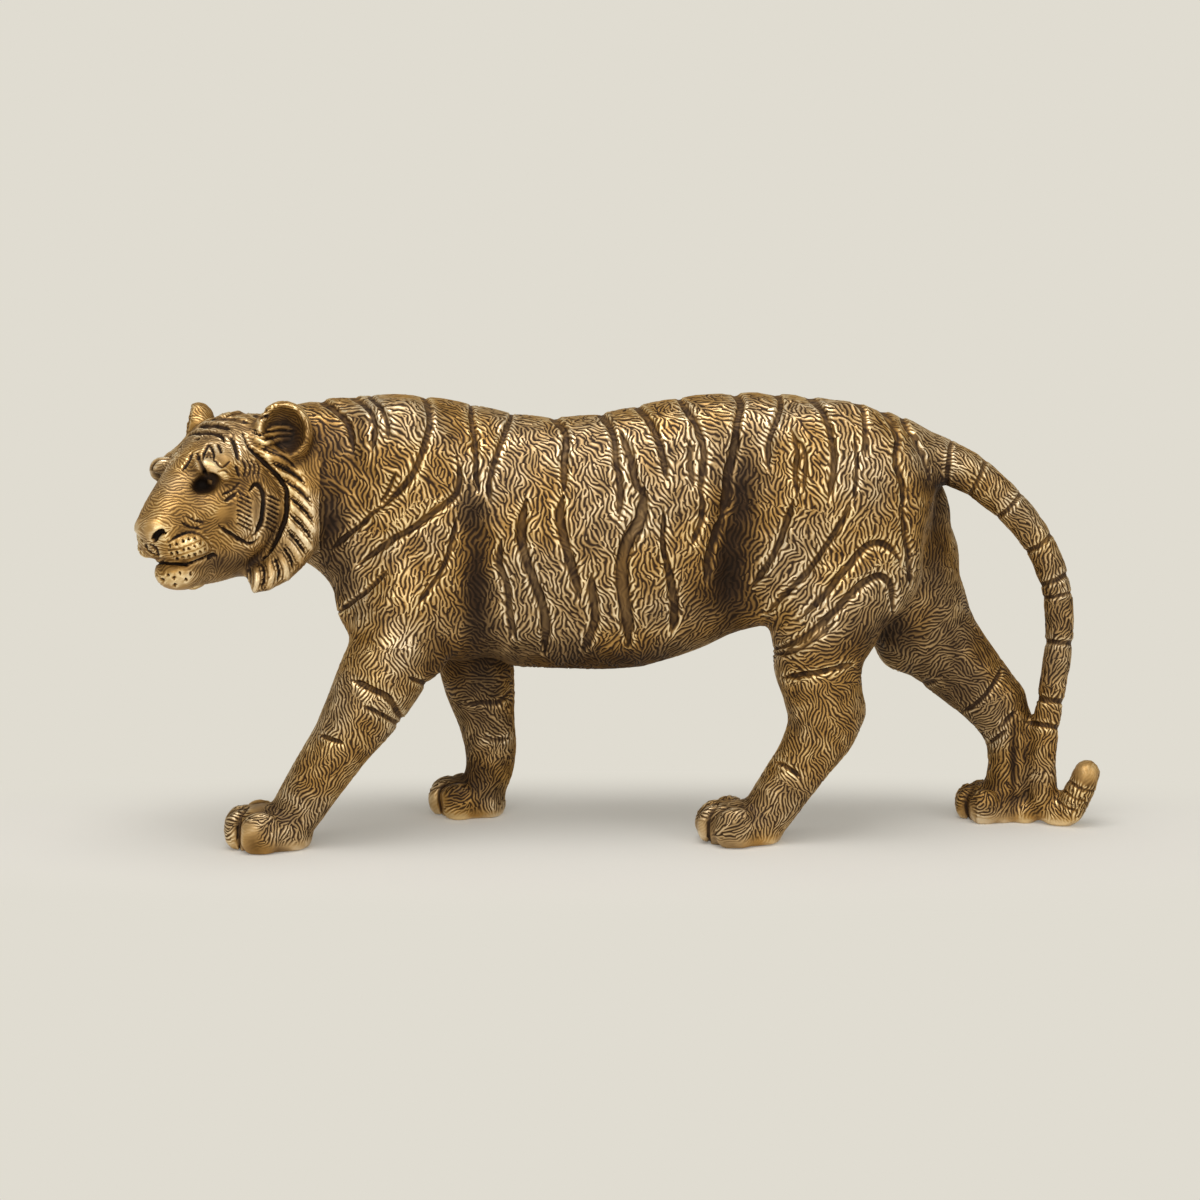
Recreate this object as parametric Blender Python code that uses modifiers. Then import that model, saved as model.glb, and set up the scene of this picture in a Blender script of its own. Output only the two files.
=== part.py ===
"""Tiger figurine: one solid casting of a walking tiger that turns its head to its left.

The tiger walks towards -X, its left side is the -Y side and +Z is up. The origin is under the
middle of its bounding box, on the floor. Sizes are in millimetres and become metres at the end.

Most places on it were read off a photograph taken from its left. Such a place is written as the
photograph's column and row, and its distance from the animal's middle plane in millimetres;
`at` turns these into a point in space.
"""
import math

import bmesh
import bpy
import numpy as np
from mathutils import Matrix, Vector

MM = 0.001
NAME = "tiger_figurine"

FINISH_NAME = "antique gold wax"
FINISH_COLOUR = (0.27, 0.17, 0.065)
FINISH_METALLIC = 0.3
FINISH_ROUGHNESS = 0.45

# Where the photograph was taken from.
VIEW_DISTANCE = 900.0
VIEW_TILT = math.radians(11.0)
VIEW_LENS = 2830.0
VIEW_MIDDLE = 600.0
AIM_X = -5.0
AIM_Z = 75.5

# Grain of the modelling, coarse for the body's masses and fine for the carving.
BLOCK_GRAIN = 1.0
CARVE_GRAIN = 0.55
BODY_PASSES = 70
BLOCK_PASSES = 6
FORM_PASSES = 5
CARVE_PASSES = 2
TRIANGLES = 11600
CARE = 3.0
HEAD_THINNING = 0.1
PAW_THINNING = 0.4
HEAD_ENDS = 320
CHEST_ROW = 600
PAW_HEIGHT = 16.0

# Where the body's strong smoothing fades out towards the neck, tail and feet, in the
# photograph's columns and rows, and behind the head in the head's own frame.
SOFT_FRONT = (300, 350)
SOFT_TAIL = (955, 925)
SOFT_FEET = (690, 610)
SOFT_NECK = (-10, -18)
NECK_ENDS = (400, 350)

# The head has a frame of its own: forward along the muzzle, to the tiger's left, and up.
HEAD_AT = (228, 478, -16.0)
HEAD_TURN = math.radians(52.0)
HEAD_ROLL = math.radians(5.0)

# Body sections: column, row of the back, row of the belly, half width, middle.
BODY_SECTIONS = [
    (258, 426, 538, 12.0, -8.0),
    (280, 407, 555, 16.5, -6.0),
    (308, 401, 562, 19.5, -3.5),
    (335, 397, 590, 21.5, -1.5),
    (360, 394, 628, 23.5, 0.0),
    (400, 393, 650, 25.5, 0.0),
    (440, 397, 658, 26.0, 0.0),
    (480, 405, 662, 25.5, 0.0),
    (520, 414, 666, 25.0, 0.0),
    (560, 417, 667, 25.5, 0.0),
    (600, 413, 668, 26.0, 0.0),
    (640, 404, 666, 26.0, 0.0),
    (680, 396, 655, 25.0, 0.0),
    (720, 392, 641, 23.0, 0.0),
    (760, 391, 626, 22.5, 0.0),
    (800, 394, 610, 23.5, 0.0),
    (840, 400, 600, 23.5, 0.0),
    (880, 408, 590, 21.0, 0.0),
    (912, 418, 570, 16.0, 0.0),
    (934, 432, 530, 10.0, 0.0),
]
BODY_WIDEST = 0.47
BODY_SQUARENESS = 2.25
BODY_SIDES = 40

# Muscle masses on the body: column, row, depth, then radii along, across and up.
MASSES = [
    (402, 490, -12.0, 22.0, 13.5, 30.0),
    (412, 575, -14.0, 18.0, 12.5, 20.0),
    (378, 600, -10.0, 14.0, 12.0, 15.0),
    (835, 505, -12.0, 30.0, 14.0, 34.0),
    (852, 565, -12.5, 23.0, 13.0, 22.0),
    (796, 585, -12.5, 13.0, 11.0, 15.0),
    (402, 490, 12.0, 22.0, 13.5, 30.0),
    (440, 575, 15.0, 18.0, 12.5, 20.0),
    (384, 590, 10.0, 14.0, 12.0, 15.0),
    (850, 505, 12.0, 29.0, 14.0, 33.0),
    (892, 560, 12.0, 22.0, 12.5, 22.0),
    (908, 642, 12.5, 11.5, 9.5, 10.5),
    (914, 520, 9.0, 12.0, 10.0, 18.0),
    (424, 657, -16.5, 8.0, 7.0, 7.5),
    (1023, 811, 11.0, 5.0, 5.0, 5.5),
]

# Limbs: column, row, depth and half thickness along each.
NEAR_FORELEG = [
    (425, 540, -9.0, 13.0),
    (410, 590, -13.5, 16.0),
    (394, 645, -16.5, 15.2),
    (368, 700, -19.5, 13.0),
    (341, 744, -19.5, 10.2),
    (317, 780, -19.0, 9.4),
    (299, 808, -19.0, 8.6),
    (285, 830, -19.0, 7.7),
]
FAR_FORELEG = [
    (450, 555, 9.0, 13.0),
    (463, 610, 13.5, 15.5),
    (474, 650, 18.0, 13.4),
    (480, 686, 18.5, 11.9),
    (487, 722, 19.0, 9.5),
    (491, 750, 19.0, 8.7),
    (488, 775, 19.0, 7.9),
    (478, 796, 19.0, 7.2),
]
NEAR_HINDLEG = [
    (842, 520, -6.0, 16.0),
    (840, 575, -9.5, 19.0),
    (827, 620, -11.5, 18.2),
    (818, 657, -12.5, 15.0),
    (822, 690, -13.0, 12.9),
    (825, 717, -13.0, 12.3),
    (805, 758, -13.0, 9.4),
    (788, 782, -13.0, 8.9),
    (772, 806, -13.0, 8.5),
    (759, 826, -13.0, 7.7),
]
FAR_HINDLEG = [
    (875, 515, 6.0, 16.0),
    (893, 565, 9.5, 20.0),
    (916, 611, 12.0, 17.8),
    (941, 646, 13.0, 13.9),
    (970, 677, 14.0, 11.8),
    (996, 706, 14.0, 9.9),
    (1009, 735, 14.0, 8.0),
    (1010, 765, 14.0, 7.2),
    (1004, 795, 14.0, 6.8),
]
LIMB_FLATNESS = 0.92
HOCKS = [
    (855, 709, -13.0, 3.9, 5.5, 6.5),
    (1014, 699, 14.0, 4.0, 5.5, 6.0),
]
TAIL = [
    (885, 452, 0.0, 8.5),
    (918, 454, 0.0, 8.4),
    (944, 462, 0.0, 7.7),
    (967, 472, 0.3, 6.7),
    (988, 487, 0.8, 5.9),
    (1010, 506, 1.6, 5.5),
    (1028, 527, 2.5, 5.2),
    (1042, 549, 3.5, 5.0),
    (1052, 573, 4.5, 4.9),
    (1058, 600, 5.5, 4.75),
    (1059, 640, 6.5, 4.6),
    (1051, 696, 7.5, 4.4),
    (1045, 735, 8.0, 4.35),
    (1043, 775, 8.0, 4.3),
    (1048, 806, 8.0, 4.5),
    (1063, 813, 6.0, 4.8),
    (1077, 795, 4.5, 4.8),
    (1085, 777, 4.0, 4.6),
]
TAIL_TIP = (1087, 773, 4.0, 4.5, 4.5, 4.7)

# Paws: heel's column, row and depth, toes' column, sole's half width, toes' height, turn in degrees.
PAWS = [
    {"heel": (298, 836, -19.0), "toes": 221, "width": 11.5, "height": 14.4, "turn": 6.0},
    {"heel": (493, 798, 19.0), "toes": 425, "width": 10.5, "height": 13.2, "turn": -4.0},
    {"heel": (768, 832, -13.0), "toes": 692, "width": 11.0, "height": 14.2, "turn": 4.0},
    {"heel": (1010, 808, 14.0), "toes": 952, "width": 10.0, "height": 12.0, "turn": -4.0},
]
TOES = 4
# Three pads under each ankle, as shares of the paw's reach, half width and height: how far
# forward and up they lie, then their radii along, across and up. The toes likewise.
PADS = [
    (0.42, 0.40, 0.44, 0.90, 0.56),
    (0.22, 0.34, 0.32, 0.84, 0.58),
    (0.06, 0.30, 0.26, 0.74, 0.52),
]
TOE_FORWARD, TOE_UP, TOE_LONG, TOE_HIGH = 0.72, 0.42, 0.28, 0.54
TOE_FULLNESS = 1.15
OUTER_TOES_BACK = 0.24

# Sections of the head in its own frame: forward, crown, throat, half width, widest level.
HEAD_SECTIONS = [
    (-19.0, 15.0, -18.0, 15.0, -3.0),
    (-14.0, 19.5, -24.0, 20.0, -5.0),
    (-7.0, 20.6, -28.0, 22.5, -7.0),
    (0.0, 20.2, -30.0, 22.5, -8.0),
    (6.0, 17.8, -31.0, 21.0, -8.0),
    (11.5, 14.2, -31.5, 18.0, -8.0),
    (17.0, 10.0, -31.5, 13.8, -9.0),
    (22.0, 6.4, -31.0, 11.0, -11.0),
    (27.0, 2.2, -27.0, 9.8, -13.0),
    (31.5, -2.6, -22.5, 8.6, -13.0),
    (34.6, -6.8, -18.0, 7.0, -12.5),
    (36.4, -9.6, -15.5, 4.6, -12.5),
]
HEAD_SIDES = 32

# Masses on the head: forward, left, up, then the three radii. Each with a place to the left is
# made again on the right.
HEAD_MASSES = [
    (3.0, 14.0, -10.0, 13.0, 8.5, 13.0),
    (-5.0, 16.0, -12.0, 11.0, 8.5, 16.0),
    (9.0, 9.5, 3.2, 9.5, 7.6, 7.6),
    (12.5, 10.0, -7.0, 10.0, 6.5, 7.0),
]
RUFF = [
    (-9.0, 21.0, 5.0, 3.0),
    (-10.5, 23.0, -3.0, 4.4),
    (-10.5, 24.0, -12.0, 5.0),
    (-8.0, 22.5, -20.0, 5.2),
    (-3.5, 18.5, -26.5, 5.0),
    (3.5, 14.5, -31.0, 4.1),
    (7.0, 12.5, -32.0, 2.8),
]
HEAD_FEATURES = [
    (24.8, 6.4, -17.8, 7.4, 6.8, 5.6),
    (28.5, 0.0, -17.5, 3.5, 4.5, 5.0),
    (34.6, 0.0, -11.4, 3.4, 6.4, 3.6),
    (23.0, 0.0, -25.8, 8.8, 7.8, 6.0),
]
BROWS = [
    (18.6, 6.6, 8.0, 1.5),
    (18.7, 9.5, 5.9, 3.2),
    (17.3, 12.8, 3.9, 3.2),
    (14.8, 16.4, 1.8, 1.5),
]
EYES = (16.2, 8.8, 0.4, 2.2, 2.2, 2.2)
MASS_SIDES = 28
MASS_RINGS = 16
EAR_AT = (-6.6, 19.4, 13.5)
EAR_RADII = (9.0, 6.4, 10.0)
EAR_HOLLOW = (6.9, 6.6, 7.8)
EAR_HOLLOW_SHIFT = 4.0
EAR_TURN = math.radians(42.0)
EAR_LEAN = math.radians(14.0)

# Grooves are drawn as the photograph sees them: depth in millimetres (less than nothing stands
# proud), half width in its pixels, then columns and rows. What is drawn on the body is there on
# both its sides.
STRIPES = [
    (1.0, 4.0, [(315, 399), (334, 409), (348, 424), (353, 451)]),
    (1.0, 4.0, [(342, 395), (363, 403), (373, 418), (374, 437), (371, 451)]),
    (0.9, 3.5, [(365, 395), (380, 407), (387, 424), (388, 439)]),
    (1.1, 4.5, [(418, 390), (429, 412), (428, 434), (413, 474), (382, 508), (342, 541)]),
    (1.0, 4.0, [(396, 472), (386, 495), (367, 518), (338, 546)]),
    (1.0, 4.0, [(470, 402), (473, 428), (476, 470), (479, 491)]),
    (1.0, 4.0, [(514, 408), (503, 437), (489, 483), (491, 502)]),
    (1.1, 4.5, [(457, 456), (460, 476), (455, 495), (434, 512), (390, 541), (359, 565)]),
    (1.0, 4.0, [(457, 518), (451, 546), (430, 588), (417, 606)]),
    (1.0, 4.0, [(386, 571), (371, 587), (340, 611)]),
    (0.9, 3.5, [(501, 540), (499, 563), (509, 615), (516, 636)]),
    (1.2, 5.5, [(526, 500), (521, 533), (537, 590), (545, 618), (545, 650)]),
    (1.2, 5.0, [(549, 415), (566, 441), (564, 491), (560, 514), (570, 562), (579, 596)]),
    (1.0, 4.5, [(591, 575), (595, 600), (594, 621), (583, 648)]),
    (1.0, 4.0, [(590, 410), (606, 420), (616, 460), (619, 518)]),
    (1.3, 7.0, [(623, 439), (643, 499), (629, 539), (622, 562), (627, 619), (629, 640)]),
    (1.0, 4.0, [(630, 404), (648, 418), (662, 453), (667, 476)]),
    (1.2, 5.5, [(664, 514), (664, 555), (675, 606), (673, 632)]),
    (1.1, 4.5, [(674, 394), (698, 430), (704, 451), (700, 495), (702, 518), (692, 543)]),
    (1.2, 5.0, [(724, 388), (740, 400), (733, 456), (728, 490), (711, 552), (708, 580)]),
    (1.0, 4.0, [(760, 388), (780, 400), (774, 425), (768, 444), (768, 466)]),
    (1.1, 5.5, [(794, 435), (798, 460), (796, 492), (783, 533), (754, 584)]),
    (1.1, 4.5, [(800, 390), (828, 425), (833, 474), (828, 500)]),
    (1.1, 4.5, [(855, 438), (857, 470), (844, 518), (807, 572), (768, 612)]),
    (0.9, 3.5, [(850, 400), (865, 425), (866, 453)]),
    (1.1, 4.5, [(876, 406), (898, 440), (903, 500), (911, 583)]),
    (0.9, 3.5, [(898, 412), (924, 459), (931, 481)]),
    (1.1, 5.0, [(802, 616), (853, 560), (879, 543), (892, 549), (901, 560)]),
    (1.3, 6.0, [(774, 649), (818, 627), (853, 592), (875, 577), (890, 585), (893, 610)]),
    (0.9, 4.0, [(773, 652), (793, 649), (833, 623)]),
    (1.0, 4.5, [(784, 677), (822, 672), (848, 666)]),
    (0.8, 3.5, [(776, 762), (799, 775)]),
    (1.1, 5.0, [(354, 681), (389, 699), (402, 722)]),
    (0.8, 3.5, [(364, 709), (382, 715), (400, 726)]),
    (0.8, 3.5, [(321, 736), (343, 743)]),
    (0.8, 3.5, [(412, 679), (432, 686)]),
]
HOLLOWS = [
    (2.2, 26.0, [(472, 520), (484, 600), (492, 660)]),
    (2.6, 30.0, [(744, 450), (738, 540), (744, 600)]),
    (1.8, 14.0, [(350, 642), (372, 622), (402, 622), (440, 642)]),
]
FAR_LEG_STRIPES = [
    (0.9, 4.0, [(466, 704), (498, 703), (512, 692)]),
    (0.8, 3.5, [(484, 736), (508, 738)]),
    (1.0, 4.5, [(953, 655), (946, 670), (921, 683)]),
    (1.0, 4.5, [(999, 669), (990, 690), (963, 712)]),
    (0.8, 3.5, [(1014, 713), (990, 742)]),
    (0.9, 4.0, [(938, 560), (920, 600), (890, 640)]),
]
TOE_CLEFTS = [
    (1.6, 3.5, [(243, 809), (237, 824), (236, 852)]),
    (1.4, 3.5, [(713, 806), (708, 822), (707, 848)]),
    (1.2, 3.0, [(441, 782), (438, 796), (440, 816)]),
    (1.2, 3.0, [(968, 790), (965, 804), (967, 822)]),
]
TAIL_RINGS = [
    (0.5, 3.0, [(950, 440), (945, 488)]),
    (0.5, 3.0, [(985, 455), (966, 500)]),
    (0.5, 3.0, [(1022, 490), (995, 518)]),
    (0.6, 3.5, [(1052, 532), (1025, 552)]),
    (0.6, 3.5, [(1072, 572), (1036, 588)]),
    (0.5, 3.0, [(1078, 592), (1038, 596)]),
    (0.6, 3.5, [(1078, 646), (1036, 640)]),
    (0.6, 3.5, [(1070, 706), (1030, 697)]),
    (0.6, 3.5, [(1066, 733), (1028, 723)]),
    (0.6, 2.5, [(1066, 776), (1100, 784)]),
]

# The face is drawn on its left half, and the right half is its mirror image.
FACE_LINES = [
    (3.6, 11.0, [(199, 486), (206, 483), (214, 481)]),
    (1.7, 3.6, [(152, 560), (163, 563), (186, 564), (203, 559), (213, 556), (220, 561)]),
    (0.9, 2.6, [(154, 543), (156, 560)]),
    (1.8, 4.2, [(151, 541), (157, 536), (165, 532)]),
    (0.8, 4.5, [(172, 537), (187, 532), (203, 539), (211, 549)]),
    (1.2, 4.5, [(254, 484), (262, 500), (258, 525), (249, 542), (238, 541), (227, 533)]),
    (1.6, 5.0, [(249, 438), (267, 467), (281, 484), (287, 502), (282, 525), (268, 550), (250, 564)]),
    (0.7, 3.0, [(200, 436), (212, 434), (220, 441)]),
    (0.7, 3.0, [(180, 443), (190, 438), (199, 438)]),
    (0.7, 3.0, [(206, 425), (218, 426), (231, 430)]),
    (0.7, 3.0, [(222, 418), (240, 414), (262, 412)]),
    (-1.0, 5.5, [(256, 440), (272, 446), (288, 458)]),
    (-1.0, 5.5, [(266, 456), (283, 462), (301, 473)]),
    (-1.1, 6.0, [(279, 472), (294, 479), (309, 492)]),
    (-1.2, 6.5, [(288, 488), (300, 497), (314, 513)]),
    (-1.2, 6.5, [(290, 505), (301, 515), (314, 531)]),
    (-1.2, 6.5, [(289, 522), (299, 533), (311, 548)]),
    (-1.1, 6.0, [(286, 540), (294, 549), (301, 561)]),
    (-1.1, 6.0, [(280, 555), (286, 567), (287, 578)]),
    (-1.1, 6.0, [(268, 561), (272, 575), (269, 587)]),
    (-1.1, 6.0, [(255, 566), (257, 579), (255, 590)]),
    (-1.0, 5.5, [(244, 569), (243, 578), (244, 587)]),
]
LINE_TAPER = 0.16
TAPER_LEFT = 0.45
GROOVE_FLOOR = 0.35
TAIL_STARTS = 942
FAR_LEGS_START = 4.0
FACE_STARTS = -14.0
FACE_GRAZES = -0.1


def seen(points):
    """Columns and rows at which the photograph shows an array of points."""
    cos_tilt, sin_tilt = math.cos(VIEW_TILT), math.sin(VIEW_TILT)
    rise = points[:, 2] - AIM_Z
    away = VIEW_DISTANCE + points[:, 1] * cos_tilt - rise * sin_tilt
    up = points[:, 1] * sin_tilt + rise * cos_tilt
    column = VIEW_MIDDLE + VIEW_LENS * (points[:, 0] - AIM_X) / away
    row = VIEW_MIDDLE - VIEW_LENS * up / away
    return np.stack([column, row], axis=1)


def seen_from_left(points):
    """As seen, with the right side of the body laid over the left."""
    return seen(np.stack([points[:, 0], -np.abs(points[:, 1]), points[:, 2]], axis=1))


def at(column, row, depth):
    """Point at a depth that the photograph shows at a column and row."""
    cos_tilt, sin_tilt = math.cos(VIEW_TILT), math.sin(VIEW_TILT)
    slope = (VIEW_MIDDLE - row) / VIEW_LENS
    level = slope * (VIEW_DISTANCE + depth * cos_tilt) - depth * sin_tilt
    rise = level / (cos_tilt + slope * sin_tilt)
    away = VIEW_DISTANCE + depth * cos_tilt - rise * sin_tilt
    return Vector((AIM_X + (column - VIEW_MIDDLE) * away / VIEW_LENS, depth, AIM_Z + rise))


def head_frame():
    """Matrix from the head's frame to the body's."""
    forward = Vector((-math.cos(HEAD_TURN), -math.sin(HEAD_TURN), 0.0))
    level_left = Vector((math.sin(HEAD_TURN), -math.cos(HEAD_TURN), 0.0))
    plumb = Vector((0.0, 0.0, 1.0))
    left = level_left * math.cos(HEAD_ROLL) + plumb * math.sin(HEAD_ROLL)
    up = plumb * math.cos(HEAD_ROLL) - level_left * math.sin(HEAD_ROLL)
    turn = Matrix((forward, left, up)).transposed().to_4x4()
    return Matrix.Translation(at(*HEAD_AT)) @ turn


def add_mass(shell, place, radii, frame=None):
    """Adds one rounded mass to the shell."""
    matrix = Matrix.Translation(place) @ Matrix.Diagonal((*radii, 1.0))
    if frame is not None:
        matrix = frame @ matrix
    ball = bmesh.new()
    bmesh.ops.create_uvsphere(
        ball, u_segments=MASS_SIDES, v_segments=MASS_RINGS, radius=1.0, matrix=matrix)
    mesh = bpy.data.meshes.new("mass")
    ball.to_mesh(mesh)
    ball.free()
    shell.from_mesh(mesh)
    bpy.data.meshes.remove(mesh)


def add_limb(shell, points, flatness=1.0, frame=None):
    """Adds a round bar along points with a half thickness each, flattened across the body."""
    curve = bpy.data.curves.new("limb", "CURVE")
    curve.dimensions = "3D"
    curve.bevel_depth = 1.0
    curve.bevel_resolution = 6
    curve.resolution_u = 8
    curve.use_fill_caps = True
    spline = curve.splines.new("BEZIER")
    spline.bezier_points.add(len(points) - 1)
    for knot, (place, radius) in zip(spline.bezier_points, points):
        knot.co = (place[0], place[1] / flatness, place[2])
        knot.radius = radius
        knot.handle_left_type = "AUTO"
        knot.handle_right_type = "AUTO"
    holder = bpy.data.objects.new("limb", curve)
    bpy.context.scene.collection.objects.link(holder)
    mesh = bpy.data.meshes.new_from_object(holder.evaluated_get(bpy.context.evaluated_depsgraph_get()))
    mesh.transform(Matrix.Diagonal((1.0, flatness, 1.0, 1.0)))
    if frame is not None:
        mesh.transform(frame)
    shell.from_mesh(mesh)
    bpy.data.objects.remove(holder)
    bpy.data.curves.remove(curve)
    bpy.data.meshes.remove(mesh)


def loft(shell, rings):
    """Joins rings of corners into one closed skin."""
    sides = len(rings[0])
    for first, second in zip(rings, rings[1:]):
        for side in range(sides):
            after = (side + 1) % sides
            shell.faces.new((first[side], first[after], second[after], second[side]))
    shell.faces.new(reversed(rings[0]))
    shell.faces.new(rings[-1])


def body_ring(column, top_row, bottom_row, half_width, middle):
    """One upright section of the body, widest a little below half its height."""
    top = at(column, top_row, middle)
    bottom = at(column, bottom_row, middle)
    widest = bottom.z + (top.z - bottom.z) * BODY_WIDEST
    ring = []
    for side in range(BODY_SIDES):
        angle = 2 * math.pi * side / BODY_SIDES
        across = math.copysign(abs(math.cos(angle)) ** (2 / BODY_SQUARENESS), math.cos(angle))
        rise = math.copysign(abs(math.sin(angle)) ** (2 / BODY_SQUARENESS), math.sin(angle))
        reach = top.z - widest if rise > 0 else widest - bottom.z
        ring.append(Vector((top.x, middle + half_width * across, widest + reach * rise)))
    return ring


def add_body(shell):
    """Adds the body and neck, lofted through their sections."""
    rings = []
    for section in BODY_SECTIONS:
        rings.append([shell.verts.new(point) for point in body_ring(*section)])
    loft(shell, rings)


def add_head(shell, frame):
    """Adds the skull and muzzle, lofted through their sections, with the ruff round the cheeks."""
    rings = []
    for forward, crown, throat, half_width, widest in HEAD_SECTIONS:
        ring = []
        for side in range(HEAD_SIDES):
            angle = 2 * math.pi * side / HEAD_SIDES
            reach = crown - widest if math.sin(angle) > 0 else widest - throat
            place = Vector((forward, half_width * math.cos(angle), widest + reach * math.sin(angle)))
            ring.append(shell.verts.new(frame @ place))
        rings.append(ring)
    loft(shell, rings)
    for forward, left, up, *radii in HEAD_MASSES:
        for side in (left, -left):
            add_mass(shell, (forward, side, up), radii, frame)
    for side in (1, -1):
        ruff = [(Vector((forward, side * left, up)), half) for forward, left, up, half in RUFF]
        add_limb(shell, ruff, 1.0, frame)


def add_paw(shell, paw):
    """Adds a paw: a pad under the ankle and four toes side by side in front of it."""
    heel = at(*paw["heel"])
    front = at(paw["toes"], paw["heel"][1], paw["heel"][2]).x
    reach = heel.x - front
    width, height = paw["width"], paw["height"]
    turn = Matrix.Translation((heel.x, heel.y, 0.0)) @ Matrix.Rotation(
        math.radians(paw["turn"]), 4, "Z")
    for forward, up, long, wide, high in PADS:
        place = (-reach * forward, 0.0, height * up)
        add_mass(shell, place, (reach * long, width * wide, height * high), turn)
    toe_half = width / TOES * TOE_FULLNESS
    for toe in range(TOES):
        offset = 2 * toe / (TOES - 1) - 1
        back = offset ** 2 * OUTER_TOES_BACK
        place = (-reach * (TOE_FORWARD - back), offset * (width - toe_half), height * TOE_UP)
        add_mass(shell, place, (reach * TOE_LONG, toe_half, height * TOE_HIGH), turn)


def fused(shell, grain, passes):
    """Fuses overlapping closed shapes into one skin of even grain and smooths it."""
    mesh = bpy.data.meshes.new("skin")
    shell.to_mesh(mesh)
    shell.free()
    holder = bpy.data.objects.new("skin", mesh)
    bpy.context.scene.collection.objects.link(holder)
    fuse = holder.modifiers.new("fuse", "REMESH")
    fuse.mode = "VOXEL"
    fuse.voxel_size = grain
    soften = holder.modifiers.new("soften", "SMOOTH")
    soften.factor = 0.5
    soften.iterations = int(passes)
    return settled(holder)


def settled(holder):
    """Mesh of an object with its modifiers applied; the object is removed."""
    graph = bpy.context.evaluated_depsgraph_get()
    mesh = bpy.data.meshes.new_from_object(holder.evaluated_get(graph))
    bpy.data.objects.remove(holder)
    return mesh


def softened(skin, passes, softness):
    """Smooths a skin, at each corner as far as its softness says."""
    holder = bpy.data.objects.new("skin", skin)
    bpy.context.scene.collection.objects.link(holder)
    group = holder.vertex_groups.new(name="soft")
    for level in range(1, 11):
        chosen = np.nonzero(np.rint(softness * 10).astype(int) == level)[0]
        group.add(chosen.tolist(), level / 10, "REPLACE")
    soften = holder.modifiers.new("soften", "SMOOTH")
    soften.factor = 0.5
    soften.iterations = int(passes)
    soften.vertex_group = group.name
    return settled(holder)


def places(mesh):
    """Corners of a mesh as an array."""
    flat = np.empty(len(mesh.vertices) * 3)
    mesh.vertices.foreach_get("co", flat)
    return flat.reshape(-1, 3)


def directions(mesh):
    """Outward directions at the corners of a mesh as an array."""
    flat = np.empty(len(mesh.vertices) * 3)
    mesh.vertices.foreach_get("normal", flat)
    return flat.reshape(-1, 3)


def ramp(values, start, end):
    """Rises smoothly from 0 at start to 1 at end."""
    share = np.clip((values - start) / (end - start), 0.0, 1.0)
    return share * share * (3.0 - 2.0 * share)


def line_depth(view, depth, half_width, line):
    """Places of a view that one drawn line reaches, and how deep it sinks them."""
    knots = np.array(line, dtype=float)
    near = np.all((view > knots.min(axis=0) - half_width) & (view < knots.max(axis=0) + half_width), axis=1)
    chosen = np.nonzero(near)[0]
    place = view[chosen]
    lengths = np.linalg.norm(np.diff(knots, axis=0), axis=1)
    best = np.full(len(chosen), np.inf)
    along = np.zeros(len(chosen))
    gone = 0.0
    for start, end, length in zip(knots, knots[1:], lengths):
        share = np.clip((place - start) @ (end - start) / length ** 2, 0.0, 1.0)
        apart = np.linalg.norm(place - start - share[:, None] * (end - start), axis=1)
        closer = apart < best
        best[closer] = apart[closer]
        along[closer] = (gone + share[closer] * length) / lengths.sum()
        gone += length
    taper = np.minimum(ramp(along, -LINE_TAPER, LINE_TAPER), ramp(along, 1 + LINE_TAPER, 1 - LINE_TAPER))
    reach = half_width * (TAPER_LEFT + (1 - TAPER_LEFT) * taper)
    return chosen, depth * ramp(best, reach, reach * GROOVE_FLOOR)


def build_block():
    """The casting's large forms, fused and softened most where the legs run into the body."""
    shell = bmesh.new()
    add_body(shell)
    for column, row, depth, *radii in MASSES + HOCKS + [TAIL_TIP]:
        add_mass(shell, at(column, row, depth), radii)
    for leg in (NEAR_FORELEG, FAR_FORELEG, NEAR_HINDLEG, FAR_HINDLEG):
        add_limb(shell, [(at(*knot[:3]), knot[3]) for knot in leg], LIMB_FLATNESS)
    add_limb(shell, [(at(*knot[:3]), knot[3]) for knot in TAIL])
    add_head(shell, head_frame())
    skin = fused(shell, BLOCK_GRAIN, BLOCK_PASSES)
    corners = places(skin)
    for depth, half_width, line in HOLLOWS:
        chosen, depths = line_depth(seen_from_left(corners), depth, half_width, line)
        corners[chosen] -= directions(skin)[chosen] * depths[:, None]
    skin.vertices.foreach_set("co", corners.ravel())
    columns, rows = seen(corners).T
    softness = ramp(columns, *SOFT_FRONT) * ramp(columns, *SOFT_TAIL) * ramp(rows, *SOFT_FEET)
    frame = head_frame()
    in_head = (corners - np.array(frame.translation)) @ np.array(frame.to_3x3())
    neck = ramp(in_head[:, 0], *SOFT_NECK) * ramp(columns, *NECK_ENDS)
    softness = np.maximum(softness, neck)
    return softened(skin, BODY_PASSES, softness)


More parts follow.
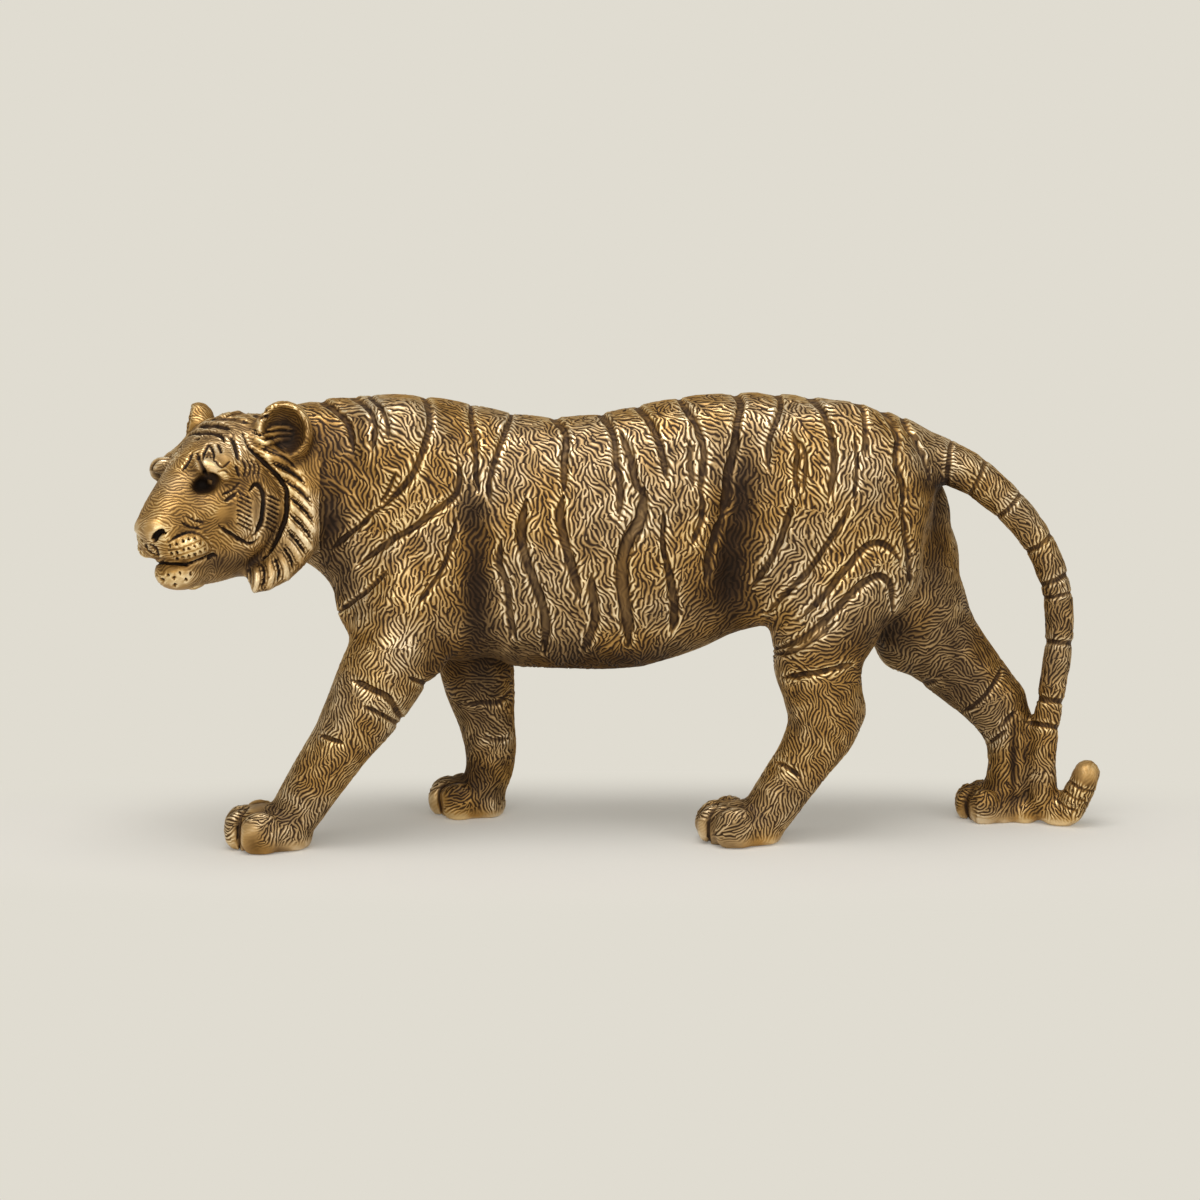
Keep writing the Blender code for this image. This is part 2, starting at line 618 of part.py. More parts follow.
def add_ear(shell, frame, side):
    """Adds one ear: a rounded cup that opens forwards and outwards."""
    turn = Matrix.Rotation(-side * (math.pi / 2 - EAR_TURN), 4, "Z")
    lean = Matrix.Rotation(side * EAR_LEAN, 4, "X")
    place = Matrix.Translation((EAR_AT[0], side * EAR_AT[1], EAR_AT[2]))
    cup = bmesh.new()
    add_mass(cup, (0.0, 0.0, 0.0), EAR_RADII)
    hollow = bmesh.new()
    add_mass(hollow, (0.0, side * EAR_HOLLOW_SHIFT, 0.0), EAR_HOLLOW)
    meshes = []
    for form in (cup, hollow):
        mesh = bpy.data.meshes.new("ear")
        form.to_mesh(mesh)
        form.free()
        holder = bpy.data.objects.new("ear", mesh)
        bpy.context.scene.collection.objects.link(holder)
        meshes.append(holder)
    cut = meshes[0].modifiers.new("hollow", "BOOLEAN")
    cut.operation = "DIFFERENCE"
    cut.solver = "EXACT"
    cut.object = meshes[1]
    ear = settled(meshes[0])
    ear.transform(frame @ place @ turn @ lean)
    shell.from_mesh(ear)
    bpy.data.objects.remove(meshes[1])


def build_form(block):
    """Adds ears, toes and the face's smaller forms to the softened block."""
    shell = bmesh.new()
    shell.from_mesh(block)
    frame = head_frame()
    for forward, left, up, *radii in HEAD_FEATURES:
        for side in sorted({left, -left}):
            add_mass(shell, (forward, side, up), radii, frame)
    for side in (1, -1):
        add_ear(shell, frame, side)
        brow = [(Vector((forward, side * left, up)), half) for forward, left, up, half in BROWS]
        add_limb(shell, brow, 1.0, frame)
    for paw in PAWS:
        add_paw(shell, paw)
    return fused(shell, CARVE_GRAIN, FORM_PASSES)


def carved(skin):
    """Cuts the stripes, the tail's rings, the toes' clefts and the face's lines into the skin."""
    corners = places(skin)
    normals = directions(skin)
    frame = head_frame()
    turn = np.array(frame.to_3x3())
    in_head = (corners - np.array(frame.translation)) @ turn
    view = seen(corners)
    columns, rows = view.T
    face = (in_head[:, 0] > FACE_STARTS) & (columns < HEAD_ENDS) & (rows < CHEST_ROW)
    body = ~face
    sunk = np.zeros(len(corners))
    raised = np.zeros(len(corners))

    def draw(lines, view, allowed):
        for depth, half_width, line in lines:
            chosen, depths = line_depth(view, depth, half_width, line)
            keep = allowed[chosen]
            chosen, depths = chosen[keep], depths[keep]
            sunk[chosen] = np.maximum(sunk[chosen], depths)
            raised[chosen] = np.minimum(raised[chosen], depths)

    draw(STRIPES, seen_from_left(corners), body & (columns < TAIL_STARTS))
    draw(FAR_LEG_STRIPES, view, body & (corners[:, 1] > FAR_LEGS_START))
    draw(TOE_CLEFTS, view, corners[:, 2] < PAW_HEIGHT)
    draw(TAIL_RINGS, view, columns > TAIL_STARTS)
    left_half = in_head.copy()
    left_half[:, 1] = np.abs(in_head[:, 1])
    left_facing = (normals @ turn) * np.where(in_head[:, 1:2] < 0, [[1.0, -1.0, 1.0]], 1.0)
    towards_view = turn.T @ np.array([0.0, -math.cos(VIEW_TILT), math.sin(VIEW_TILT)])
    left_view = seen(left_half @ turn.T + np.array(frame.translation))
    draw(FACE_LINES, left_view, face & (left_facing @ towards_view > FACE_GRAZES))
    corners -= normals * (sunk + raised)[:, None]
    skin.vertices.foreach_set("co", corners.ravel())
    shell = bmesh.new()
    shell.from_mesh(skin)
    for side in (1, -1):
        add_mass(shell, (EYES[0], side * EYES[1], EYES[2]), EYES[3:], frame)
    return fused(shell, CARVE_GRAIN, CARVE_PASSES)


def thinned(skin):
    """Fewer triangles where the form is plain, and more kept on the head and paws."""
    holder = bpy.data.objects.new("thin", skin)
    bpy.context.scene.collection.objects.link(holder)
    corners = places(skin)
    columns, rows = seen(corners).T
    head = (columns < HEAD_ENDS) & (rows < CHEST_ROW)
    paws = corners[:, 2] < PAW_HEIGHT
    group = holder.vertex_groups.new(name="plain")
    for chosen, thinning in ((~head & ~paws, 1.0), (head, HEAD_THINNING), (paws, PAW_THINNING)):
        group.add(np.nonzero(chosen)[0].tolist(), thinning, "REPLACE")
    triangles = sum(len(face.vertices) - 2 for face in skin.polygons)
    thin = holder.modifiers.new("thin", "DECIMATE")
    thin.vertex_group = group.name
    thin.vertex_group_factor = CARE
    thin.ratio = TRIANGLES / triangles
    thin.use_collapse_triangulate = True
    return settled(holder)


def stand_flat(mesh):
    """Cuts the soles and the tail's bend off level with the floor."""
    form = bmesh.new()
    form.from_mesh(mesh)
    everything = form.verts[:] + form.edges[:] + form.faces[:]
    bmesh.ops.bisect_plane(form, geom=everything, plane_co=(0, 0, 0), plane_no=(0, 0, 1), clear_inner=True)
    rims = [edge for edge in form.edges if edge.is_boundary]
    bmesh.ops.holes_fill(form, edges=rims, sides=0)
    bmesh.ops.triangulate(form, faces=form.faces[:])
    bmesh.ops.recalc_face_normals(form, faces=form.faces[:])
    form.to_mesh(mesh)
    form.free()


def finish():
    """Gold wax rubbed over dark brown lacquer."""
    material = bpy.data.materials.new(FINISH_NAME)
    material.use_nodes = True
    shader = material.node_tree.nodes["Principled BSDF"]
    shader.inputs["Base Color"].default_value = (*FINISH_COLOUR, 1.0)
    shader.inputs["Metallic"].default_value = FINISH_METALLIC
    shader.inputs["Roughness"].default_value = FINISH_ROUGHNESS
    return material


def main():
    for thing in list(bpy.data.objects):
        bpy.data.objects.remove(thing)
    form = build_form(build_block())
    cast = thinned(carved(form))
    stand_flat(cast)
    corners = np.array([vertex.co for vertex in cast.vertices])
    middle = (corners.min(axis=0) + corners.max(axis=0)) / 2
    cast.transform(Matrix.Scale(MM, 4) @ Matrix.Translation((-middle[0], -middle[1], 0.0)))
    size = corners.max(axis=0) - corners.min(axis=0)
    print("middle", middle, "size", size, "triangles", len(cast.polygons))
    tiger = bpy.data.objects.new(NAME, cast)
    cast.materials.clear()
    cast.materials.append(finish())
    collection = bpy.data.collections.new(NAME)
    bpy.context.scene.collection.children.link(collection)
    collection.objects.link(tiger)


main()
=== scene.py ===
# %% [markdown]
# # A walking tiger, cast in resin and finished in antique gold
#
# The real object is one solid casting of polyester resin, about 300 mm long. Its maker carved the
# pattern with small gouges: broad grooves for the stripes and thousands of short wavy cuts for the
# hair. The casting is painted dark umber, and a gold wax is rubbed over it, which catches on the
# ridges and leaves the cuts dark. So both the shape and the colour come from the same cuts, and
# this lesson makes them together: first the skin, then the cuts, then a finish that reads them.

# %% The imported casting
import math

import bmesh
import bpy
import numpy as np
from mathutils import Matrix, Vector
from mathutils.bvhtree import BVHTree


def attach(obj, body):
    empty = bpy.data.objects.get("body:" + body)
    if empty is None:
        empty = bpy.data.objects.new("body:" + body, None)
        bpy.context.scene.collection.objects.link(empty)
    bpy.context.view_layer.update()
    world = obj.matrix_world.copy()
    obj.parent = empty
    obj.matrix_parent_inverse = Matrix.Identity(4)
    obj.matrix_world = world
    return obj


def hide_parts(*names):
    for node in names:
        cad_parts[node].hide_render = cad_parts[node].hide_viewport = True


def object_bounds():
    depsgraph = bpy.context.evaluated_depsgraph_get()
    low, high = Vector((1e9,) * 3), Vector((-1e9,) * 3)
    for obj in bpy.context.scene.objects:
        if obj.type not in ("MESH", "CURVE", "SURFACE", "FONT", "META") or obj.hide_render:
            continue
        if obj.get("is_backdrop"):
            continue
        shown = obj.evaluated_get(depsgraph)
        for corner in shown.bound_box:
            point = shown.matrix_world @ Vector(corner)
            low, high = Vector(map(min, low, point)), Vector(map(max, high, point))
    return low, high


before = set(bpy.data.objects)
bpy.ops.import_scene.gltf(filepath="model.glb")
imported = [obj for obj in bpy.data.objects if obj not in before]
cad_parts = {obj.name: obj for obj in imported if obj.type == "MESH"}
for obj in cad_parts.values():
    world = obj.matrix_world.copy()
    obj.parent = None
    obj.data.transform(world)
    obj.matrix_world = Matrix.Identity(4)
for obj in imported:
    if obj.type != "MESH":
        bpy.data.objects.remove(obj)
cad_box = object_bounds()
casting = bpy.data.objects["tiger_figurine"]
print("casting box", [list(corner) for corner in cad_box])

# %% [markdown]
# ## The camera
#
# The photograph looks at the tiger's left side from a little above. Its long lens keeps the near
# and the far legs almost the same size. The same numbers are used twice: for Blender's camera, and
# to find which place of the skin lies under a column and row of the photograph, which is how the
# stripes are drawn below. Everything inside the drawing functions is in millimetres.

# %% Camera and the photograph's columns and rows
MM = 0.001
PHOTO_SIDE = 1200
VIEW_DISTANCE = 900.0
VIEW_TILT = math.radians(11.0)
VIEW_LENS = 2830.0
AIM = np.array([-10.236, 9.191, 75.5])
SENSOR = 36.0

lens = bpy.data.cameras.new("studio_camera")
lens.sensor_width = SENSOR
lens.lens = VIEW_LENS * SENSOR / PHOTO_SIDE
camera = bpy.data.objects.new("studio_camera", lens)
bpy.context.scene.collection.objects.link(camera)
towards_camera = Vector((0.0, -math.cos(VIEW_TILT), math.sin(VIEW_TILT)))
camera.location = (Vector(AIM) + towards_camera * VIEW_DISTANCE) * MM
camera.rotation_euler = (math.pi / 2 - VIEW_TILT, 0.0, 0.0)
bpy.context.scene.camera = camera
print("camera at", [round(value, 3) for value in camera.location], "with a lens of", round(lens.lens, 1))


def seen(points):
    """Columns and rows at which the photograph shows an array of points."""
    cos_tilt, sin_tilt = math.cos(VIEW_TILT), math.sin(VIEW_TILT)
    along, depth, rise = (points - AIM).T
    reach = VIEW_DISTANCE + depth * cos_tilt - rise * sin_tilt
    up = depth * sin_tilt + rise * cos_tilt
    middle = PHOTO_SIDE / 2
    return np.stack([middle + VIEW_LENS * along / reach, middle - VIEW_LENS * up / reach], axis=1)


# %% [markdown]
# ## A fine skin over the casting
#
# The CAD model has few triangles, enough for its forms and too few for hair. Blender's voxel
# remesh lays an even net of small squares over it, as a modeller would lay fine wax over a rough
# core, and smoothing takes the facets out. Thin forms, such as the tail and the ears, are smoothed
# least, because smoothing also makes them thinner. A vertex group holds how much each place gets.

# %% Remesh and soften
BODY_MIDDLE = 9.191
CORE_GRAIN = 0.8
SKIN_GRAIN = 0.42
SOFT_LEVELS = 10
SOFT_LIMBS = 0.4
SOFT_ENDS = 0.12
CORE_ROUNDS = 36
EVEN_ROUNDS = 4
SKIN_ROUNDS = 6
BEHIND_HEAD = (330, 380)
BEFORE_TAIL = (960, 920)
ABOVE_LEGS = (740, 620)
ABOVE_PAWS = (800, 770)
EAR_COLUMN = 325
EAR_ROW = 455


def places(mesh, layer="co"):
    """Corners of a mesh ("co"), or the directions in which they face ("normal"), as an array."""
    flat = np.empty(len(mesh.vertices) * 3, dtype=np.float32)
    mesh.vertices.foreach_get(layer, flat)
    return flat.reshape(-1, 3).astype(float)


def settled(holder):
    """Mesh of an object with its modifiers applied; the object is removed."""
    graph = bpy.context.evaluated_depsgraph_get()
    mesh = bpy.data.meshes.new_from_object(holder.evaluated_get(graph))
    bpy.data.objects.remove(holder)
    return mesh


def held(mesh):
    """A new object in the scene that holds a mesh."""
    holder = bpy.data.objects.new("clay", mesh)
    bpy.context.scene.collection.objects.link(holder)
    return holder


def fused(mesh, grain):
    """Overlapping closed shapes as one skin of even squares."""
    holder = held(mesh)
    net = holder.modifiers.new("net", "REMESH")
    net.mode = "VOXEL"
    net.voxel_size = grain
    return settled(holder)


def softened(mesh, rounds, softness):
    """Smooths a skin, at each corner as far as its softness says."""
    holder = held(mesh)
    group = holder.vertex_groups.new(name="soft")
    levels = np.rint(softness * SOFT_LEVELS).astype(int)
    for level in range(1, SOFT_LEVELS + 1):
        group.add(np.nonzero(levels == level)[0].tolist(), level / SOFT_LEVELS, "REPLACE")
    soften = holder.modifiers.new("soften", "SMOOTH")
    soften.factor = 0.5
    soften.iterations = rounds
    soften.vertex_group = group.name
    return settled(holder)


def ramp(values, start, end):
    """Rises smoothly from 0 at start to 1 at end."""
    share = np.clip((values - start) / (end - start), 0.0, 1.0)
    return share * share * (3.0 - 2.0 * share)


core = casting.data.copy()
core.transform(Matrix.Scale(1 / MM, 4))
core = fused(core, CORE_GRAIN)
corners = places(core)
columns, rows = seen(corners).T
body = np.minimum(ramp(columns, *BEHIND_HEAD), ramp(columns, *BEFORE_TAIL))
softness = body * ramp(rows, *ABOVE_LEGS)
softness = np.maximum(softness, SOFT_LIMBS * ramp(columns, *BEHIND_HEAD) * ramp(rows, *ABOVE_PAWS))
softness = np.maximum(softness, SOFT_ENDS)
softness[(rows < EAR_ROW) & (columns < EAR_COLUMN)] = 0.0
core = softened(core, CORE_ROUNDS, softness)
core = softened(core, EVEN_ROUNDS, np.ones(len(corners)))
skin = fused(core, SKIN_GRAIN)
skin = softened(skin, SKIN_ROUNDS, np.ones(len(skin.vertices)))
print("skin", len(skin.vertices), "corners")

# %% [markdown]
# ## Drawing on the skin
#
# A carver draws the pattern on the form first and then follows the drawing with a gouge. Each
# drawn line here has a depth, a half width and a few points, in the photograph's columns and rows.
# Every corner of the skin near the line is sunk along its own direction, most in the middle of
# the groove. What is drawn on the left side is cut on the right side too, as if the skin were
# folded along the animal's back. The material pushed aside by a gouge stands up as a low rim.

# %% How a gouge cuts
LINE_TAPER = 0.16
END_WIDTH = 0.4
GROOVE_FLOOR = 0.45
FLOOR_EDGE = 0.8
RIM_STARTS = (0.85, 1.15)
RIM_TOP = 1.2
RIM_REACH = 1.75


def along_line(view, half_width, line, spread=1.0):
    """Places near a drawn line, and how far each lies from its middle, in half widths."""
    knots = np.array(line, dtype=float)
    margin = half_width * spread
    near = np.all((view > knots.min(axis=0) - margin) & (view < knots.max(axis=0) + margin), axis=1)
    chosen = np.nonzero(near)[0]
    place = view[chosen]
    lengths = np.linalg.norm(np.diff(knots, axis=0), axis=1)
    best = np.full(len(chosen), np.inf)
    along = np.zeros(len(chosen))
    gone = 0.0
    for start, end, length in zip(knots, knots[1:], lengths):
        share = np.clip((place - start) @ (end - start) / length ** 2, 0.0, 1.0)
        apart = np.linalg.norm(place - start - share[:, None] * (end - start), axis=1)
        closer = apart < best
        best[closer] = apart[closer]
        along[closer] = (gone + share[closer] * length) / lengths.sum()
        gone += length
    taper = np.minimum(ramp(along, 0.0, LINE_TAPER), ramp(along, 1.0, 1.0 - LINE_TAPER))
    reach = half_width * (END_WIDTH + (1.0 - END_WIDTH) * taper)
    return chosen, best / reach


def smooth_line(line, steps=6):
    """A drawn line with rounded turns: Catmull-Rom through its points."""
    knots = np.array([line[0], *line, line[-1]], dtype=float)
    points = []
    for before, start, end, after in zip(knots, knots[1:], knots[2:], knots[3:]):
        for step in range(steps):
            t = step / steps
            points.append(0.5 * (2 * start + (end - before) * t
                                 + (2 * before - 5 * start + 4 * end - after) * t ** 2
                                 + (3 * start - before - 3 * end + after) * t ** 3))
    points.append(knots[-1])
    return points


def gouge(cut, floor, wall, rim, view, lines, allowed, rim_height=0.25):
    """Cuts drawn lines: deepens cut, marks the grooves' floors and walls, and raises their rims."""
    for depth, half_width, line in lines:
        chosen, apart = along_line(view, half_width, smooth_line(line), RIM_REACH)
        keep = allowed[chosen]
        chosen, apart = chosen[keep], apart[keep]
        sunk = ramp(apart, 1.0, GROOVE_FLOOR)
        cut[chosen] = np.maximum(cut[chosen], depth * sunk)
        wall[chosen] = np.maximum(wall[chosen], 4.0 * sunk * (1.0 - sunk))
        floor[chosen] = np.maximum(floor[chosen], ramp(apart, FLOOR_EDGE, GROOVE_FLOOR))
        crest = ramp(apart, *RIM_STARTS) * ramp(apart, RIM_REACH, RIM_TOP)
        rim[chosen] = np.maximum(rim[chosen], rim_height * crest)


def swell(cut, view, lines, allowed):
    """Raises round ridges along drawn lines, by making the cut negative there."""
    for height, half_width, line in lines:
        chosen, apart = along_line(view, half_width, smooth_line(line))
        keep = allowed[chosen] & (apart < 1.0)
        cut[chosen[keep]] -= height * np.sqrt(1.0 - apart[keep] ** 2)


profile = ramp(np.linspace(0.0, 1.0, 5), 1.0, GROOVE_FLOOR)
print("depth of a groove from its middle to its edge", [round(float(share), 2) for share in profile])

# %% [markdown]
# ## The stripes
#
# The stripes of this figurine are the widest cuts: 2 to 5 mm across and about 1 mm deep, with
# round ends that run out to a point. They follow the muscles: nearly upright on the barrel, slanted
# on the shoulder and bent round the thigh. The far legs, which stride otherwise than the near ones,
# have stripes of their own, and so does the tail, in rings. At the outline, as the photograph shows
# it, the cuts are shallower, so that they don't notch it.

# %% Where the stripes run
STRIPES = [
    (1.1, 4.0, [(313, 396), (334, 409), (348, 424), (353, 451)]),
    (1.1, 3.6, [(342, 392), (363, 403), (373, 418), (374, 437), (371, 451)]),
    (1.0, 3.2, [(365, 392), (380, 407), (387, 424), (388, 439)]),
    (1.2, 4.4, [(416, 390), (428, 405), (430, 424), (422, 453), (413, 474), (401, 489), (382, 508)]),
    (1.1, 3.0, [(384, 506), (372, 514), (363, 523), (342, 541), (330, 552)]),
    (1.0, 2.6, [(396, 472), (386, 495), (380, 503)]),
    (1.1, 3.8, [(470, 400), (473, 428), (476, 447), (476, 470), (479, 491)]),
    (1.1, 3.8, [(514, 408), (503, 437), (495, 460), (489, 483), (491, 502)]),
    (1.2, 4.2, [(457, 456), (460, 476), (455, 495), (434, 512), (411, 529), (390, 541), (359, 565)]),
    (1.0, 3.4, [(457, 518), (451, 546), (442, 569), (430, 588), (417, 606)]),
    (1.0, 3.2, [(386, 571), (371, 587), (355, 600), (338, 612)]),
    (1.0, 4.6, [(501, 540), (499, 563), (507, 588), (509, 615), (516, 640)]),
    (1.2, 6.0, [(526, 500), (521, 533), (527, 562), (537, 590), (545, 618), (545, 654)]),
    (1.2, 4.6, [(546, 415), (562, 426), (566, 441), (564, 466), (564, 491)]),
    (1.2, 6.0, [(563, 496), (560, 514), (564, 539), (570, 562), (576, 583), (579, 598)]),
    (1.1, 5.6, [(591, 575), (593, 600), (595, 621), (583, 652)]),
    (1.2, 4.6, [(590, 410), (606, 420), (614, 439), (616, 460), (620, 487), (619, 520)]),
    (1.2, 5.0, [(620, 432), (631, 460), (635, 480), (642, 494)]),
    (1.3, 8.0, [(643, 488), (641, 518), (629, 539), (622, 562), (623, 590), (627, 619), (629, 645)]),
    (1.1, 4.6, [(630, 402), (648, 418), (656, 435), (662, 453), (667, 480)]),
    (1.2, 3.2, [(664, 510), (663, 543), (666, 564)]),
    (1.2, 5.4, [(666, 560), (671, 583), (675, 606), (673, 632)]),
    (1.1, 4.4, [(674, 394), (688, 411), (698, 430), (704, 451), (702, 476), (700, 495)]),
    (1.0, 4.0, [(702, 492), (702, 518), (692, 545)]),
    (1.0, 4.6, [(690, 440), (691, 466), (694, 486)]),
    (1.2, 5.0, [(722, 388), (740, 400), (737, 423), (733, 456), (728, 472), (727, 495), (721, 523)]),
    (1.2, 4.6, [(723, 516), (711, 552), (708, 582)]),
    (1.1, 3.8, [(760, 388), (778, 396), (780, 407), (774, 425), (768, 444), (768, 470)]),
    (1.2, 3.6, [(792, 430), (797, 453), (795, 474), (797, 496)]),
    (1.1, 3.2, [(798, 440), (805, 456), (803, 492)]),
    (1.1, 4.2, [(793, 500), (783, 533), (772, 557), (752, 588)]),
    (1.2, 4.2, [(798, 390), (818, 405), (828, 425), (833, 451), (833, 474), (828, 502)]),
    (1.0, 2.8, [(855, 434), (857, 459), (856, 481), (853, 499)]),
    (1.1, 3.8, [(850, 504), (844, 518), (826, 546), (807, 572), (787, 592), (766, 614)]),
    (1.0, 3.2, [(850, 400), (863, 409), (865, 431), (866, 456)]),
    (1.2, 4.0, [(876, 406), (892, 422), (898, 440), (896, 462), (903, 485), (903, 511)]),
    (1.1, 3.4, [(903, 508), (905, 533), (909, 559), (911, 586)]),
    (1.0, 3.2, [(898, 412), (913, 437), (924, 459), (931, 484)]),
    (1.1, 4.4, [(800, 618), (820, 599), (839, 577), (853, 560), (866, 547), (879, 543), (892, 549),
                (901, 562)]),
    (1.2, 4.6, [(774, 649), (796, 642), (818, 627), (837, 609), (853, 592), (870, 579), (883, 577),
                (892, 588), (893, 612)]),
    (1.0, 3.6, [(773, 654), (793, 651), (815, 638), (835, 622)]),
    (1.1, 3.6, [(782, 678), (802, 675), (822, 672), (841, 667), (852, 664)]),
    (0.9, 3.0, [(776, 762), (787, 767), (801, 777)]),
    (1.2, 4.0, [(352, 680), (371, 689), (389, 699), (404, 723)]),
    (0.9, 3.0, [(364, 706), (382, 715), (402, 726)]),
    (0.9, 3.0, [(319, 735), (343, 744)]),
    (0.9, 3.0, [(410, 678), (434, 687)]),
]
FAR_LEG_STRIPES = [
    (0.5, 2.8, [(464, 704), (484, 703), (498, 703), (512, 691)]),
    (0.5, 2.4, [(482, 736), (495, 740), (510, 738)]),
    (0.5, 3.0, [(955, 652), (946, 670), (934, 681), (919, 684)]),
    (0.5, 3.0, [(1001, 667), (993, 684), (979, 701), (961, 713)]),
    (0.5, 2.8, [(1015, 711), (1001, 726)]),
    (0.5, 2.6, [(1007, 730), (988, 744)]),
    (0.9, 3.2, [(938, 560), (920, 600), (890, 640)]),
]
TAIL_RINGS = [
    (0.6, 3.2, [(952, 438), (949, 462), (946, 490)]),
    (0.5, 2.8, [(987, 453), (979, 478), (965, 503)]),
    (0.5, 2.8, [(1024, 488), (1009, 508), (993, 520)]),
    (0.6, 3.2, [(1054, 530), (1040, 545), (1023, 552)]),
    (0.6, 3.2, [(1074, 570), (1056, 580), (1034, 586)]),
    (0.5, 2.4, [(1078, 590), (1056, 596), (1036, 598)]),
    (0.6, 3.2, [(1080, 643), (1056, 642), (1034, 639)]),
    (0.7, 3.6, [(1074, 703), (1050, 700), (1028, 696)]),
    (0.7, 3.4, [(1070, 730), (1050, 726), (1026, 722)]),
    (0.6, 2.0, [(1066, 778), (1080, 788), (1094, 791)]),
    (0.5, 1.8, [(1060, 786), (1073, 797), (1086, 801)]),
    (0.5, 1.8, [(1054, 797), (1066, 807), (1079, 811)]),
]
TOE_CLEFTS = [
    (0.6, 2.0, [(249, 807), (241, 816), (238, 830), (240, 852)]),
    (0.6, 2.0, [(718, 804), (711, 814), (708, 828), (710, 848)]),
    (0.5, 1.8, [(447, 780), (440, 790), (439, 802), (442, 816)]),
    (0.5, 1.8, [(974, 788), (967, 797), (966, 808), (969, 822)]),
]
print("stripes drawn", len(STRIPES + FAR_LEG_STRIPES + TAIL_RINGS))

# %% [markdown]
# ## The head's own frame
#
# The head is turned to the animal's left and a little rolled. Three axes of its own, forward, left
# and up, say which places belong to the face and which of them mirror each other.

# %% Turn with the head
HEAD_AT = np.array([-125.432, -6.809, 117.097])
HEAD_TURN = math.radians(52.0)
HEAD_ROLL = math.radians(5.0)
FACE_STARTS = -14.0
HEAD_ENDS = 320
CHEST_ROW = 600

corners = places(skin)
facing = places(skin, "normal")
folded = corners.copy()
folded[:, 1] = BODY_MIDDLE - np.abs(corners[:, 1] - BODY_MIDDLE)
columns, rows = seen(corners).T

forward = np.array([-math.cos(HEAD_TURN), -math.sin(HEAD_TURN), 0.0])
level_left = np.array([math.sin(HEAD_TURN), -math.cos(HEAD_TURN), 0.0])
plumb = np.array([0.0, 0.0, 1.0])
head_left = level_left * math.cos(HEAD_ROLL) + plumb * math.sin(HEAD_ROLL)
head_up = plumb * math.cos(HEAD_ROLL) - level_left * math.sin(HEAD_ROLL)
head_axes = np.stack([forward, head_left, head_up])
in_head = (corners - HEAD_AT) @ head_axes.T
face = (in_head[:, 0] > FACE_STARTS) & (columns < HEAD_ENDS) & (rows < CHEST_ROW)
print("face", int(face.sum()), "corners")

# %% Cut the stripes
FAR_SIDE = 4.0
TAIL_STARTS = 942
TAIL_THINS = (955, 985)
TAIL_SHRINKAGE = 0.35
PAW_TOP = 22.0
OUTLINE = (0.1, 0.5)
CUT_CALMED = 0.65
RIM_CALMED = 0.8

cut = np.zeros(len(corners))
floor = np.zeros(len(corners))
wall = np.zeros(len(corners))
rim = np.zeros(len(corners))
gouge(cut, floor, wall, rim, seen(folded), STRIPES, ~face & (columns < TAIL_STARTS))
gouge(cut, floor, wall, rim, seen(corners), FAR_LEG_STRIPES,
      ~face & (corners[:, 1] > BODY_MIDDLE + FAR_SIDE))
gouge(cut, floor, wall, rim, seen(corners), TAIL_RINGS, columns > TAIL_STARTS)
on_edge = 1.0 - ramp(np.abs(facing @ np.array(towards_camera)), *OUTLINE)
cut *= 1.0 - CUT_CALMED * on_edge
rim *= 1.0 - RIM_CALMED * on_edge
cut -= TAIL_SHRINKAGE * ramp(columns, *TAIL_THINS)  # smoothing has made the tail thinner
gouge(cut, floor, wall, rim, seen(corners), TOE_CLEFTS, corners[:, 2] < PAW_TOP, rim_height=0.0)
print("stripes cut", round(float(cut.max()), 2), "mm deep")

# %% [markdown]
# ## The deep places of the body
#
# Where a leg meets the body the carver goes deepest: in the flank before the thigh, behind the
# elbow, on the neck under the ruff. These places get the umber that no wax reaches, with painted
# shade over it, and the belly's underside, the soles, the far legs and the tail get painted shade.
# Each of these soft spots has a depth in millimetres, how dark it is painted, a middle, and how wide
# and how tall it is. Where the darkness is negative, the place is painted lighter, as a painted
# highlight. Low dents all over keep the skin from looking moulded; two crossed waves that bend each
# other make them.

# %% Sink and shade the broad hollows
# Darkness here is umber with painted shade in the flank, behind the elbow and on the neck, painted shade
# under the belly, at the soles, on the far legs and the tail, and a painted highlight where it is
# negative.
HOLLOWS_SHADE_AND_HIGHLIGHTS = [
    (2.4, 0.98, 731, 572, 20, 64), (1.0, 0.75, 742, 496, 14, 44), (0.8, 0.4, 706, 596, 26, 30),
    (2.0, 0.85, 477, 590, 14, 62), (0.6, 0.55, 470, 512, 20, 34), (0.8, 0.8, 331, 528, 15, 42),
    (0.0, 0.6, 318, 470, 9, 30), (0.0, 0.4, 344, 580, 12, 34), (0.4, 0.6, 938, 540, 12, 70),
    (0.0, 0.7, 940, 484, 26, 9), (0.4, 0.7, 896, 632, 24, 20), (0.0, 0.72, 600, 664, 140, 20),
    (0.0, 0.55, 478, 690, 34, 60), (0.0, 0.45, 960, 690, 50, 70), (0.0, 0.45, 860, 640, 22, 26),
    (0.0, 0.3, 440, 668, 20, 24), (0.0, 0.5, 250, 854, 60, 9), (0.0, 0.5, 720, 850, 60, 9),
    (0.0, 0.22, 255, 815, 40, 26), (0.0, 0.28, 720, 815, 40, 26), (0.0, 0.6, 462, 800, 44, 24),
    (0.0, 0.35, 985, 810, 44, 26), (0.7, 0.8, 1020, 770, 4, 42), (0.0, 0.3, 348, 440, 34, 40),
    (0.0, 0.28, 1050, 640, 36, 110), (0.0, 0.3, 1084, 776, 16, 20), (0.0, -0.24, 392, 640, 40, 44),
    (0.0, -0.12, 420, 530, 44, 70), (0.0, -0.1, 830, 560, 60, 70),
]
DENT_DEPTH = 0.28
DENT_WAVES = (2.1, 2.7, 2.3, 2.9, 3.3)
DENT_BENDS = (1.3, 1.1)
FACE_DENTS = 0.3


def soft_spot(view, column, row, wide, tall):
    """1 in the middle of a spot, falling off smoothly."""
    return np.exp(-((view[:, 0] - column) / wide) ** 2 - ((view[:, 1] - row) / tall) ** 2)


